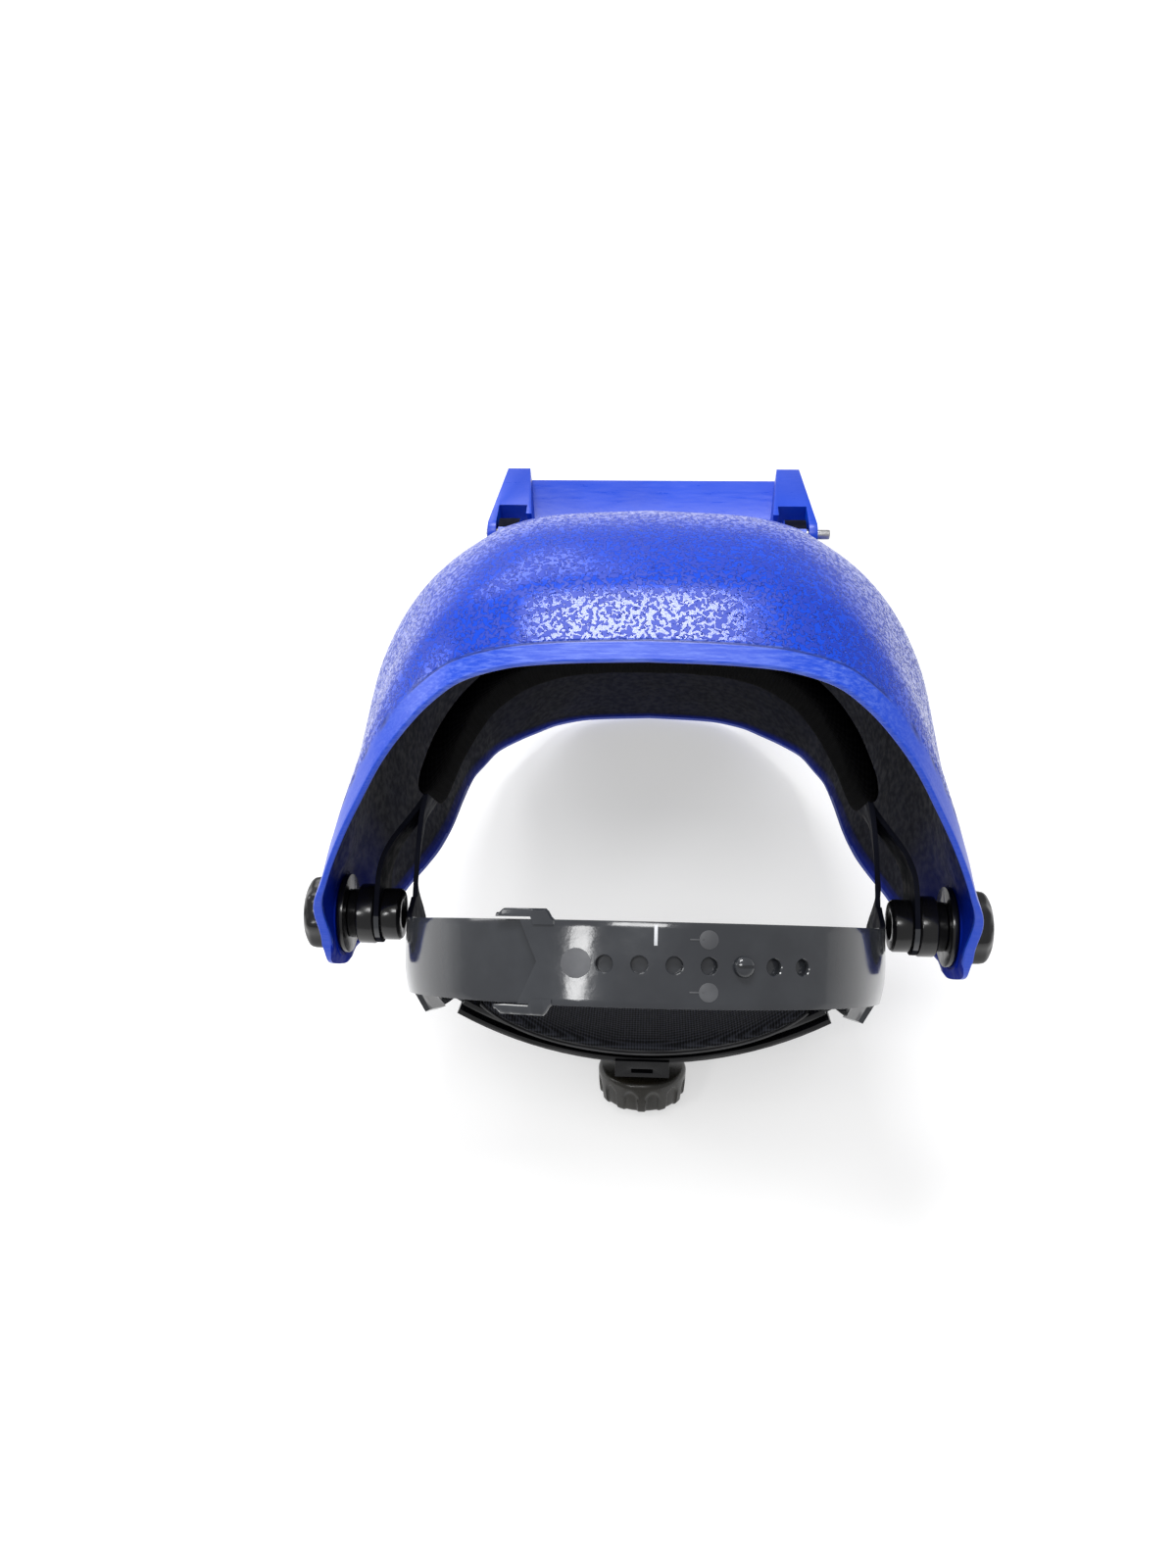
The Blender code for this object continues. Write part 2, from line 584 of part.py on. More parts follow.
def add_grid(bm, points):
    """Adds a sheet of quads through a grid of points."""
    made = [[bm.verts.new(p) for p in row] for row in points]
    for i in range(len(made) - 1):
        for j in range(len(made[0]) - 1):
            bm.faces.new((made[i][j], made[i][j + 1], made[i + 1][j + 1], made[i + 1][j]))


def nape_point(angle, radius, height):
    """A point of the nape's arc in the headgear frame: angle in degrees from the middle towards +X."""
    a = math.radians(angle)
    lean = math.radians(NAPE_LEAN)
    x = radius * math.sin(a)
    back = radius * math.cos(a) - NAPE_RADIUS
    y = back * math.cos(lean) + height * math.sin(lean)
    z = -back * math.sin(lean) + height * math.cos(lean)
    return Vector((x, y - NAPE_FORWARD, z + NAPE_RISE))


def groove_radius():
    """Radius of the middle of the housing's groove."""
    return NAPE_RADIUS + 0.55 * HOUSING_DEPTH


def side_shares():
    """Shares across the strap's foot at which the side of the hoop has its points."""
    return np.linspace(-1, 1, 5)


def build_headband(parent, look):
    """The moulded band: front hoop, both halves of the crown strap and the two rear arms, as one bent sheet."""
    bm = bmesh.new()
    foot = STRAP_WIDTH / 2 + STRAP_FILLET
    side_line = [foot * s for s in side_shares()]
    front = hoop_line(foot, 29)
    plan = [(hoop_x(f), f) for f in side_line[:-1]] + [tuple(p) for p in front]
    plan += [(-hoop_x(f), f) for f in reversed(side_line[:-1])]
    rows = []
    for level in (0.0, 1.0):
        row = []
        for x, f in plan:
            brow = smoothstep((f - foot) / (SWEATBAND_END - foot))
            low = SIDE_BOTTOM + (BROW_BOTTOM - SIDE_BOTTOM) * brow
            high = SIDE_TOP + (BROW_TOP - SIDE_TOP) * brow
            row.append((x, -f, low + (high - low) * level))
        rows.append(row)
    add_grid(bm, rows)
    for side in (1, -1):
        add_strap_half(bm, side)
        add_rear_arm(bm, side, side_line)
    bmesh.ops.remove_doubles(bm, verts=bm.verts, dist=1e-5)
    bmesh.ops.recalc_face_normals(bm, faces=bm.faces)
    band = add_object("headband", bm, parent, look, 50.0)
    thicken = band.modifiers.new("sheet", "SOLIDIFY")
    thicken.thickness = SHEET
    thicken.offset = 0.0
    thicken.use_even_offset = True
    thicken.use_quality_normals = True
    combine(band, "UNION", pivot_arms(parent))
    combine(band, "DIFFERENCE", strap_holes(parent), arm_bores(parent))
    combine(band, "UNION", strap_pin(parent), strap_hooks(parent))
    return band


def strap_radius(side, angle):
    """Arch radius of a strap half: the -X half rises outside the other and lies on top of it."""
    if side > 0:
        return STRAP_RISE
    return STRAP_RISE + (SHEET + LAP_GAP) * smoothstep((70.0 - abs(angle)) / 35.0 if angle < 0 else 1.0)


def strap_point(side, angle, forward, lift=0.0):
    """A point of the crown arch; the angle runs from 0 at the top to 90 at the +X foot and -90 at the -X foot."""
    a = math.radians(angle)
    radius = strap_radius(side, angle) + lift
    return Vector((radius * math.sin(a) * HOOP_HALF_WIDTH / STRAP_RISE, -forward,
                   SIDE_TOP + radius * math.cos(a)))


def add_strap_half(bm, side):
    foot_shares = side_shares()
    end = -LOW_STRAP_END if side > 0 else TOP_STRAP_END
    span = 90 - side * end
    steps = [0.0, 0.015, 0.04, 0.08]
    rest = 16
    steps += [0.08 + 0.92 * (i + 1) / rest for i in range(rest)]
    rows = []
    for step in steps:
        angle = side * (90 - span * step)
        height = STRAP_RISE * math.radians(90 - abs(angle)) if side * angle > 0 else STRAP_RISE
        half = STRAP_WIDTH / 2
        if height < STRAP_FILLET:
            half += STRAP_FILLET - math.sqrt(STRAP_FILLET ** 2 - (STRAP_FILLET - height) ** 2)
        row = []
        for share in foot_shares:
            forward = half * share
            notch = 0.0
            if side < 0 and step == 1.0:
                notch = -4.0 * (1 - abs(share))
            point = strap_point(side, angle + notch, forward)
            if step == 0.0:
                point = Vector((side * hoop_x(forward), -forward, SIDE_TOP))
            row.append(point)
        rows.append(row)
    add_grid(bm, rows)


def add_rear_arm(bm, side, side_line):
    """The arm that hangs from the foot of the strap and turns into the housing's groove."""
    last = len(side_line) // 2
    start = [Vector((side * hoop_x(f), -f, SIDE_BOTTOM)) for f in side_line[:last + 1]]
    first_mid = (start[0] + start[-1]) / 2
    enter = NAPE_HALF_ANGLE + 1.5
    end_mid = nape_point(side * enter, groove_radius(), 0.0)
    low = math.radians(enter)
    lean = math.radians(NAPE_LEAN)
    into = Vector((-side * math.cos(low), math.sin(low) * math.cos(lean), -math.sin(low) * math.sin(lean)))
    drop = (first_mid - end_mid).length
    bends = (first_mid, first_mid + Vector((0, 0, -0.55 * drop)), end_mid - into * 0.18 * drop, end_mid)
    out_start = Vector((side, 0, 0))
    out_end = Vector((side * math.sin(low), math.cos(low) * math.cos(lean), -math.cos(low) * math.sin(lean)))
    half_start = (start[0] - start[-1]).length / 2
    half_end = TONGUE_HEIGHT / 2
    rows = [start]
    count = 10
    for i in range(1, count + 1):
        t = i / count
        s = 1 - t
        place = s ** 3 * bends[0] + 3 * s * s * t * bends[1] + 3 * s * t * t * bends[2] + t ** 3 * bends[3]
        along = (3 * s * s * (bends[1] - bends[0]) + 6 * s * t * (bends[2] - bends[1])
                 + 3 * t * t * (bends[3] - bends[2])).normalized()
        out = out_start.lerp(out_end, smoothstep(t))
        out = (out - out.dot(along) * along).normalized()
        across = out.cross(along) * side
        half = half_start + (half_end - half_start) * smoothstep(t)
        rows.append([place + across * half * (1 - 2 * k / last) for k in range(last + 1)])
    tongue = 14
    for i in range(1, 5):
        angle = side * (enter - tongue * i / 4)
        rows.append([nape_point(angle, groove_radius(), half_end * (1 - 2 * k / last)) for k in range(last + 1)])
    add_grid(bm, rows)


def pivot_centre():
    """Forward and rise of the pivot axis in the headgear frame."""
    lean = math.radians(HEADGEAR_LEAN)
    f, u = -STRAP_FOOT_FORWARD, -STRAP_FOOT_RISE
    return f * math.cos(lean) + u * math.sin(lean), -f * math.sin(lean) + u * math.cos(lean)


def pivot_arms(parent):
    """Two arms that leave the hoop behind the sweatband and end in flat eyes on the pivot axis."""
    bm = bmesh.new()
    centre_f, centre_u = pivot_centre()
    leave = SWEATBAND_END - 0.003
    straight = centre_f + 1.15 * ARM_EYE_RADIUS
    for side in (1, -1):
        start = Vector((hoop_x(leave) + 0.35 * SHEET, leave))
        ahead = Vector((hoop_x(leave - 0.02) - hoop_x(leave), -0.02)).normalized()
        ahead = (ahead + Vector((0.35, 0))).normalized()
        stop = Vector((ARM_PLANE, straight))
        pull = 0.4 * (start - stop).length
        bends = (start, start + ahead * pull, stop + Vector((0, pull)), stop)
        line = []
        count = 6
        for i in range(count + 1):
            t = i / count
            s = 1 - t
            line.append(s ** 3 * bends[0] + 3 * s * s * t * bends[1] + 3 * s * t * t * bends[2] + t ** 3 * bends[3])
        around = [centre_f + ARM_EYE_RADIUS * c for c in (0.6, 0.0, -0.4, -0.7, -0.9, -1.0)]
        line += [Vector((ARM_PLANE, f)) for f in around]
        outer, inner = [], []
        for k, place in enumerate(line):
            nxt = line[min(k + 1, len(line) - 1)]
            prev = line[max(k - 1, 0)]
            step = (nxt - prev).normalized()
            out = Vector((-step.y, step.x))
            if out.x < 0:
                out = -out
            share = min(1.0, (leave - place.y) / (leave - centre_f))
            mid = 0.0 + (centre_u - 0.0) * smoothstep(share)
            half = ARM_WIDTH / 2 + (ARM_EYE_RADIUS - ARM_WIDTH / 2) * smoothstep(share)
            behind = centre_f - place.y
            if behind > 0:
                half = math.sqrt(max(ARM_EYE_RADIUS ** 2 - behind ** 2, (0.1 * ARM_EYE_RADIUS) ** 2))
            for grid, shift in ((outer, SHEET / 2), (inner, -SHEET / 2)):
                p = place + out * shift
                grid.append([(side * p.x, -p.y, mid + half * w) for w in (-1, 0, 1)])
        wall_solid(bm, np.array(outer), np.array(inner))
    return add_object("pivot_arms", bm, parent)


def strap_hole_angles():
    """Angles of the holes in the top half of the strap; the pin stands in one of them."""
    return [-PIN_ANGLE - k * HOLE_PITCH for k in (-4, -3, -2, -1, 0, 1, 2)]


def radial(angle, side):
    """Places a turned piece on the strap, growing outwards from the arch at an angle."""
    a = math.radians(angle)
    out = Vector((math.sin(a), 0, math.cos(a)))
    across = Vector((math.cos(a), 0, -math.sin(a)))
    base = strap_point(side, angle, 0.0)
    return lambda along, p, q: base + out * along + across * p + Vector((0, q, 0))


def strap_holes(parent):
    bm = bmesh.new()
    through = (SHEET + LAP_GAP) / 2
    for angle in strap_hole_angles():
        turned(bm, ((-through, HOLE_DIAMETER / 2), (2 * through, HOLE_DIAMETER / 2)), 12, radial(angle, -1))
    lowest = [angle for angle in strap_hole_angles() if angle > -LOW_STRAP_END + 5.0]
    extra = [lowest[0] + HOLE_PITCH * k for k in (1, 2)]
    for angle in lowest + extra:
        if abs(angle + PIN_ANGLE) < 1.0:
            continue
        turned(bm, ((-2 * through, HOLE_DIAMETER / 2), (through, HOLE_DIAMETER / 2)), 12, radial(angle, 1))
    return add_object("strap_holes", bm, parent)


def strap_pin(parent):
    """The pin on the lower half that stands up through a hole of the top half, with a wider head."""
    bm = bmesh.new()
    neck = HOLE_DIAMETER / 2 - 2 * FIT_GAP
    head = HOLE_DIAMETER / 2 + 0.0008
    base = 1.5 * SHEET + LAP_GAP + 2 * FIT_GAP
    profile = ((-0.2 * SHEET, neck), (base, neck), (base, head), (base + 0.0009, 0.9 * head),
               (base + 0.0014, 0.5 * head))
    turned(bm, profile, 12, radial(-PIN_ANGLE, 1))
    return add_object("strap_pin", bm, parent)


def strap_hooks(parent):
    """Two guide hooks on the lower half that keep the end of the top half down."""
    bm = bmesh.new()
    angle = TOP_STRAP_END - 1.0
    a = math.radians(angle)
    out = Vector((math.sin(a), 0, math.cos(a)))
    across = Vector((math.cos(a), 0, -math.sin(a)))
    base = strap_point(1, angle, 0.0)
    half = STRAP_WIDTH / 2
    lift = SHEET + LAP_GAP
    length = 0.007
    # side view of one hook: down beside the strap's edge, up past the top half and in over its edge
    outline = ((half - 0.0012, -0.4 * SHEET), (half + 0.0030, -0.4 * SHEET), (half + 0.0030, lift + 1.9 * SHEET),
               (half - 0.0010, lift + 1.9 * SHEET), (half - 0.0010, lift + 0.5 * SHEET + FIT_GAP),
               (half + 0.0012, lift + 0.5 * SHEET + FIT_GAP), (half + 0.0012, 0.4 * SHEET),
               (half - 0.0012, 0.4 * SHEET))
    for end in (-1, 1):
        rings = []
        for along in (-length / 2, length / 2):
            rings.append([bm.verts.new(base + across * along + out * up + Vector((0, end * y, 0)))
                          for y, up in outline])
        bm.faces.new(rings[0])
        bm.faces.new(rings[1])
        for i in range(len(outline)):
            j = (i + 1) % len(outline)
            bm.faces.new((rings[0][i], rings[0][j], rings[1][j], rings[1][i]))
    return add_object("strap_hooks", bm, parent)


def arm_bores(parent):
    bm = bmesh.new()
    centre_f, centre_u = pivot_centre()
    hole = BOLT_DIAMETER / 2 + FIT_GAP
    for side in (-1, 1):
        turned(bm, ((ARM_PLANE - 2 * SHEET, hole), (ARM_PLANE + 2 * SHEET, hole)), 20,
               lambda a, p, q, side=side: (side * a, p - centre_f, q + centre_u))
    return add_object("arm_bores", bm, parent)


def build_sweatband(parent, look):
    """A padded sleeve round the front of the hoop, open at both ends."""
    line = hoop_line(SWEATBAND_END, 31)
    half_t, half_h = SWEATBAND_THICKNESS / 2, SWEATBAND_HEIGHT / 2
    slot_t = SHEET / 2 + FIT_GAP
    slot_h = max(BROW_TOP, -BROW_BOTTOM) + 2 * FIT_GAP
    corner = 0.45 * half_t
    outside = [(half_t, half_h - corner), (half_t - corner, half_h), (-half_t + corner, half_h),
               (-half_t, half_h - corner), (-half_t, -half_h + corner), (-half_t + corner, -half_h),
               (half_t - corner, -half_h), (half_t, -half_h + corner)]
    inside = [(slot_t, slot_h), (-slot_t, slot_h), (-slot_t, -slot_h), (slot_t, -slot_h)]
    bm = bmesh.new()
    rings_out, rings_in = [], []
    for k, (x, f) in enumerate(line):
        nxt, prev = line[min(k + 1, len(line) - 1)], line[max(k - 1, 0)]
        step = Vector(nxt) - Vector(prev)
        step.normalize()
        out = Vector((-step.y, step.x)) * -1
        if out.dot(Vector((x, f))) < 0:
            out = -out
        rings_out.append([bm.verts.new((x + out.x * d, -(f + out.y * d), h)) for d, h in outside])
        rings_in.append([bm.verts.new((x + out.x * d, -(f + out.y * d), h)) for d, h in inside])
    for rings in (rings_out, rings_in):
        count = len(rings[0])
        for a, b in zip(rings, rings[1:]):
            for i in range(count):
                j = (i + 1) % count
                bm.faces.new((a[i], a[j], b[j], b[i]))
    # each end is closed by a frame between the outside and the slot
    for o, n in ((rings_out[0], rings_in[0]), (rings_out[-1], rings_in[-1])):
        bm.faces.new((o[0], o[1], n[0]))
        bm.faces.new((o[1], o[2], n[1], n[0]))
        bm.faces.new((o[2], o[3], n[1]))
        bm.faces.new((o[3], o[4], n[2], n[1]))
        bm.faces.new((o[4], o[5], n[2]))
        bm.faces.new((o[5], o[6], n[3], n[2]))
        bm.faces.new((o[6], o[7], n[3]))
        bm.faces.new((o[7], o[0], n[0], n[3]))
    return add_object("sweatband", bm, parent, look, 50.0)


def build_pivots(parent, black, steel):
    """On each side: bolt through the arm, block, washer and shell, with a tension knob outside."""
    centre_f, centre_u = pivot_centre()
    origin = (0.0, -centre_f, centre_u)
    for side, name in ((1, "left"), (-1, "right")):
        place = along_x(side)
        head_out = ARM_PLANE - SHEET / 2 - FIT_GAP
        head_in = head_out - BOLT_HEAD_LENGTH
        block_in = ARM_PLANE + SHEET / 2 + FIT_GAP
        block_out = block_in + BLOCK_LENGTH
        shell_in = EAR_FACE - SHELL_WALL
        washer_out = shell_in - RUNNING_GAP
        washer_in = washer_out - WASHER_THICKNESS
        barrel_out = BARREL_OUT
        knob_in = EAR_FACE + RUNNING_GAP
        knob_out = knob_in + TENSION_KNOB_LENGTH
        bolt_end = knob_in + 0.55 * TENSION_KNOB_LENGTH
        r_head, r_bolt = BOLT_HEAD_DIAMETER / 2, BOLT_DIAMETER / 2
        hole = r_bolt + FIT_GAP
        profile = ((head_in + 0.003, 0.0), (head_in + 0.003, 0.45 * r_head), (head_in, 0.55 * r_head),
                   (head_in, 0.9 * r_head), (head_in + 0.001, r_head), (head_out, r_head), (head_out, r_bolt),
                   (bolt_end, r_bolt))
        bolt = add_object(f"pivot_bolt_{name}", turned(bmesh.new(), profile, 24, place), parent, black)
        r_block, r_barrel = BLOCK_DIAMETER / 2, BARREL_DIAMETER / 2
        profile = ((block_in, hole), (block_in, 0.95 * r_block), (block_in + 0.0006, r_block),
                   (block_out - 0.0006, r_block), (block_out, 0.95 * r_block), (block_out, r_barrel),
                   (barrel_out, r_barrel), (barrel_out, hole))
        block = add_object(f"pivot_block_{name}", tube(bmesh.new(), profile, 24, place), parent, black)
        r_washer = WASHER_DIAMETER / 2
        profile = ((washer_in, hole), (washer_in, r_washer), (washer_out, r_washer), (washer_out, hole))
        washer = add_object(f"pivot_washer_{name}", tube(bmesh.new(), profile, 32, place), parent, steel)
        r_knob = TENSION_KNOB_DIAMETER / 2
        length = knob_out - knob_in
        profile = ((bolt_end + RUNNING_GAP, 0.0), (bolt_end + RUNNING_GAP, hole), (knob_in, hole),
                   (knob_in, 0.94 * r_knob), (knob_in + 0.12 * length, r_knob), (knob_in + 0.6 * length, 0.97 * r_knob),
                   (knob_in + 0.85 * length, 0.82 * r_knob), (knob_out, 0.5 * r_knob), (knob_out, 0.0))

        def facets(row, angle):
            """Shallow grip flats on the rows round the outside."""
            return 1 - 0.035 * (0.5 + 0.5 * math.cos(12 * angle)) if row in (4, 5) else 1.0

        knob = add_object(f"tension_knob_{name}", turned(bmesh.new(), profile, 36, place, facets), parent, black)
        for piece in (bolt, block, washer, knob):
            piece.location = origin


def arc_slab(bm, half_angle, columns, section):
    """A body swept round the nape's arc from a closed section of (radius, height) points, in the nape frame."""
    rings = []
    for k in range(columns + 1):
        a = math.radians(-half_angle + 2 * half_angle * k / columns)
        rings.append([bm.verts.new((r * math.sin(a), r * math.cos(a) - NAPE_RADIUS, h)) for r, h in section(a)])
    count = len(rings[0])
    for first, second in zip(rings, rings[1:]):
        for i in range(count):
            j = (i + 1) % count
            bm.faces.new((first[i], first[j], second[j], second[i]))
    bm.faces.new(rings[0])
    bm.faces.new(rings[-1])
    return bm


def build_nape(parent, black, cloth):
    """Ratchet housing with its groove, knob and pad, in the nape's frame: +Y is outward from the head."""
    inner = NAPE_RADIUS + FIT_GAP
    outer = inner + HOUSING_DEPTH
    half = HOUSING_HEIGHT / 2
    groove_in = groove_radius() - GROOVE_WIDTH / 2
    groove_out = groove_radius() + GROOVE_WIDTH / 2
    floor = -TONGUE_HEIGHT / 2 - RUNNING_GAP
    section = ((inner, -half), (outer - 0.0012, -half), (outer, -half + 0.0012), (outer, half), (groove_out, half),
               (groove_out, floor), (groove_in, floor), (groove_in, half), (inner, half))
    housing = add_object("ratchet_housing", arc_slab(bmesh.new(), NAPE_HALF_ANGLE, 24, lambda a: section),
                         parent, black)
    gearbox = bmesh.new()
    back = outer - NAPE_RADIUS + GEARBOX_DEPTH
    box(gearbox, (-GEARBOX_WIDTH / 2, GEARBOX_WIDTH / 2), (-(groove_out - NAPE_RADIUS + 0.0004), -back),
        (-GEARBOX_HEIGHT / 2, GEARBOX_HEIGHT / 2))
    slot = bmesh.new()
    box(slot, (-0.2 * GEARBOX_WIDTH, 0.2 * GEARBOX_WIDTH), (-(back - 0.7 * GEARBOX_DEPTH), -(back - 0.35 * GEARBOX_DEPTH)),
        (0.3 * GEARBOX_HEIGHT, GEARBOX_HEIGHT))
    combine(housing, "UNION", add_object("gearbox", gearbox, parent))
    combine(housing, "DIFFERENCE", add_object("gearbox_slot", slot, parent))

    def pad_section(a):
        edge = abs(a) / math.radians(PAD_HALF_ANGLE)
        top = PAD_HEIGHT / 2 * (1 - 0.35 * edge ** 6)
        t = PAD_THICKNESS
        r = NAPE_RADIUS
        return ((r - 0.3 * t, -top), (r, -top + 0.3 * t), (r, top - 0.3 * t), (r - 0.3 * t, top), (r - 0.7 * t, top),
                (r - t, top - 0.3 * t), (r - t, -top + 0.3 * t), (r - 0.7 * t, -top))

    add_object("rear_pad", arc_slab(bmesh.new(), PAD_HALF_ANGLE, 22, pad_section), parent, cloth)

    start = back + RUNNING_GAP
    end = RATCHET_KNOB_PROTRUSION
    r_collar, r_knob = RATCHET_COLLAR_DIAMETER / 2, RATCHET_KNOB_DIAMETER / 2
    length = end - start
    profile = ((start, 0.0), (start, r_collar), (start + 0.12 * length, r_collar), (start + 0.12 * length, 0.92 * r_knob),
               (start + 0.18 * length, r_knob), (start + 0.5 * length, r_knob), (start + 0.88 * length, 0.97 * r_knob),
               (end - 0.03 * length, 0.88 * r_knob), (end, 0.6 * r_knob), (end, 0.0))

    def grips(row, angle):
        """Scooped grips round the knob, with ribs between them."""
        if row not in (5, 6):
            return 1.0
        wave = 0.5 + 0.5 * math.cos(KNOB_GRIPS * angle)
        return 1 - 0.07 * min(1.0, 1.6 * wave)

    add_object("ratchet_knob", turned(bmesh.new(), profile, 60, lambda a, p, q: (p, a, q), grips), parent, black)


def rest_lean():
    """The angle that brings the chin and the lowest point of the ratchet knob to the same height."""
    nape, head = math.radians(NAPE_LEAN), math.radians(HEADGEAR_LEAN)
    out, low = RATCHET_KNOB_PROTRUSION, RATCHET_KNOB_DIAMETER / 2
    # forward and rise in the headgear frame, then in the shell frame
    best = None
    for reach, radius in ((out, 0.6 * low), (0.97 * out, 0.88 * low), (0.9 * out, 0.97 * low)):
        f = NAPE_FORWARD - reach * math.cos(nape) + radius * math.sin(nape)
        h = NAPE_RISE - reach * math.sin(nape) - radius * math.cos(nape)
        forward = STRAP_FOOT_FORWARD + f * math.cos(head) - h * math.sin(head)
        rise = STRAP_FOOT_RISE + f * math.sin(head) + h * math.cos(head)
        lean = math.atan2(rise + CHIN_DROP, CHIN_FORWARD - forward)
        best = lean if best is None else min(best, lean)
    return math.degrees(best)


def settle_on_table(root):
    """Moves the whole part so that its lowest point is at zero and its middle stands over the origin."""
    bpy.context.view_layer.update()
    graph = bpy.context.evaluated_depsgraph_get()
    points = []
    for obj in bpy.context.scene.objects:
        if obj.type != "MESH" or obj.hide_render:
            continue
        evaluated = obj.evaluated_get(graph)
        mesh = evaluated.to_mesh()
        here = np.empty(len(mesh.vertices) * 3, np.float32)
        mesh.vertices.foreach_get("co", here)
        world = np.array(evaluated.matrix_world, float)
        points.append(here.reshape(-1, 3) @ world[:3, :3].T + world[:3, 3])
        evaluated.to_mesh_clear()
    points = np.vstack(points)
    low, high = points.min(axis=0), points.max(axis=0)
    root.location = (root.location.x, root.location.y - (low[1] + high[1]) / 2, root.location.z - low[2])


def main():
    clear_scene()
    textured = material("blue_textured_plastic", BLUE, 0.42)
    smooth_blue = material("blue_smooth_plastic", BLUE_SMOOTH, 0.38)
    pivot_black = material("black_pivot_plastic", BLACK, 0.30)
    housing_black = material("black_housing_plastic", BLACK, 0.28)
    strap = material("dark_grey_strap_plastic", STRAP_GREY, 0.18)
    fabric = material("black_woven_cloth", CLOTH, 0.9)
    steel = material("steel", STEEL, 0.35, 1.0)
    clear = material("clear_polycarbonate", CLEAR, 0.05)
    dark = material("dark_filter_glass", DARK_GLASS, 0.05)

    shell_frame = empty("shell_pivot_axis", None, lean=rest_lean())
    door_frame = empty("door_hinge_axis", shell_frame, DOOR_AXIS_FORWARD, DOOR_AXIS_RISE)
    headgear_frame = empty("headgear_foot", shell_frame, STRAP_FOOT_FORWARD, STRAP_FOOT_RISE, HEADGEAR_LEAN)
    nape_frame = empty("nape", headgear_frame, NAPE_FORWARD, NAPE_RISE, NAPE_LEAN)

    build_shell(shell_frame, textured)
    build_door(door_frame, smooth_blue)
    build_plates(shell_frame, door_frame, clear, dark)
    build_hinge_pins(shell_frame, steel)
    build_headband(headgear_frame, strap)
    build_sweatband(headgear_frame, fabric)
    build_pivots(headgear_frame, pivot_black, steel)
    build_nape(nape_frame, housing_black, fabric)
    settle_on_table(shell_frame)


main()
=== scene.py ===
import json
import math
from types import SimpleNamespace

import bmesh
import bpy
import numpy as np
from mathutils import Matrix, Vector
from mathutils.kdtree import KDTree


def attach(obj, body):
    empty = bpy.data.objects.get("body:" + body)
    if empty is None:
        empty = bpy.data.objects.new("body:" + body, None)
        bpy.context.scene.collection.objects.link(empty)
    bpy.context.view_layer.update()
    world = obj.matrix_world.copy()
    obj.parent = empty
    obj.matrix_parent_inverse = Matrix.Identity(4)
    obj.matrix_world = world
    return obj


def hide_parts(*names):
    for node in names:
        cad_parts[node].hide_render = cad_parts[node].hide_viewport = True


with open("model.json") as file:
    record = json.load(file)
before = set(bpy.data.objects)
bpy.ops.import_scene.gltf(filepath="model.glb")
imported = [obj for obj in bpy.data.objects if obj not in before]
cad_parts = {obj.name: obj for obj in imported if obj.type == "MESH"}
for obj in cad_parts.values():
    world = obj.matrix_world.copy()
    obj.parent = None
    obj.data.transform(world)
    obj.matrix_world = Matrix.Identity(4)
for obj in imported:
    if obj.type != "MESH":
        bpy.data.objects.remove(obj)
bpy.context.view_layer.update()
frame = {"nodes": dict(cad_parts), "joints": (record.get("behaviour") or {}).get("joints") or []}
nodes = frame["nodes"]

# Values of the part, as its source has them: lengths in metres, angles in degrees
FIT_GAP = 0.0003
RUNNING_GAP = 0.0005
LAP_GAP = 0.0006
CHIN_FORWARD = 0.164
CHIN_DROP = 0.180
CROWN_FORWARD = 0.054
CROWN_RISE = 0.105
SHELL_HALF_WIDTH = 0.1185
SHELL_WALL = 0.0025
RIM_THICKNESS = 0.0036
RIM_WIDTH = 0.008
EAR_RADIUS = 0.021
EAR_FACE = 0.1132
EAR_FLAT_RADIUS = 0.013
EAR_BLEND = 0.011
EAR_SEAT_DIAMETER = 0.0305
EAR_PAD_MARGIN = 0.0006
DOOR_AXIS_FORWARD = 0.158
DOOR_AXIS_RISE = 0.010
DOOR_REACH = 0.041
DOOR_BASE_HALF_WIDTH = 0.066
DOOR_WALL = 0.0028
DOOR_FACE_THICKNESS = 0.0065
WINDOW_DROP = 0.058
PLATE_WIDTH = 0.108
PLATE_HEIGHT = 0.051
PLATE_LEDGE = 0.005
CLEAR_PLATE_THICKNESS = 0.002
FRAME_WALL = 0.0032
FRAME_BACK = 0.018
HINGE_PIN_DIAMETER = 0.004
HINGE_EYE_RADIUS = 0.0062
HINGE_EYE_WALL = 0.0034
LUG_WIDTH = 0.0085
SHEET = 0.0018
HOOP_HALF_WIDTH = 0.084
HOOP_FRONT = 0.114
HOOP_SQUARENESS = 3.0
SIDE_TOP = 0.008
SIDE_BOTTOM = -0.014
BROW_TOP = 0.015
BROW_BOTTOM = -0.015
STRAP_WIDTH = 0.025
STRAP_RISE = 0.084
STRAP_FILLET = 0.008
HOLE_DIAMETER = 0.005
HOLE_PITCH = 6.8
PIN_ANGLE = 19.9
TOP_STRAP_END = 25.0
SWEATBAND_HEIGHT = 0.042
SWEATBAND_THICKNESS = 0.009
SWEATBAND_END = 0.063
ARM_WIDTH = 0.015
ARM_EYE_RADIUS = 0.0105
ARM_PLANE = 0.0969
BOLT_DIAMETER = 0.006
TENSION_KNOB_DIAMETER = 0.028
TENSION_KNOB_LENGTH = 0.0105
STRAP_FOOT_FORWARD = -0.013
STRAP_FOOT_RISE = -0.006
HEADGEAR_LEAN = 14.0
NAPE_LEAN = 22.9
NAPE_FORWARD = -0.033
NAPE_RISE = -0.089
NAPE_RADIUS = 0.150
NAPE_HALF_ANGLE = 30.0
HOUSING_DEPTH = 0.0072
TONGUE_HEIGHT = 0.018
PAD_HEIGHT = 0.045
PAD_THICKNESS = 0.005
PAD_HALF_ANGLE = 27.5
GEARBOX_DEPTH = 0.0055
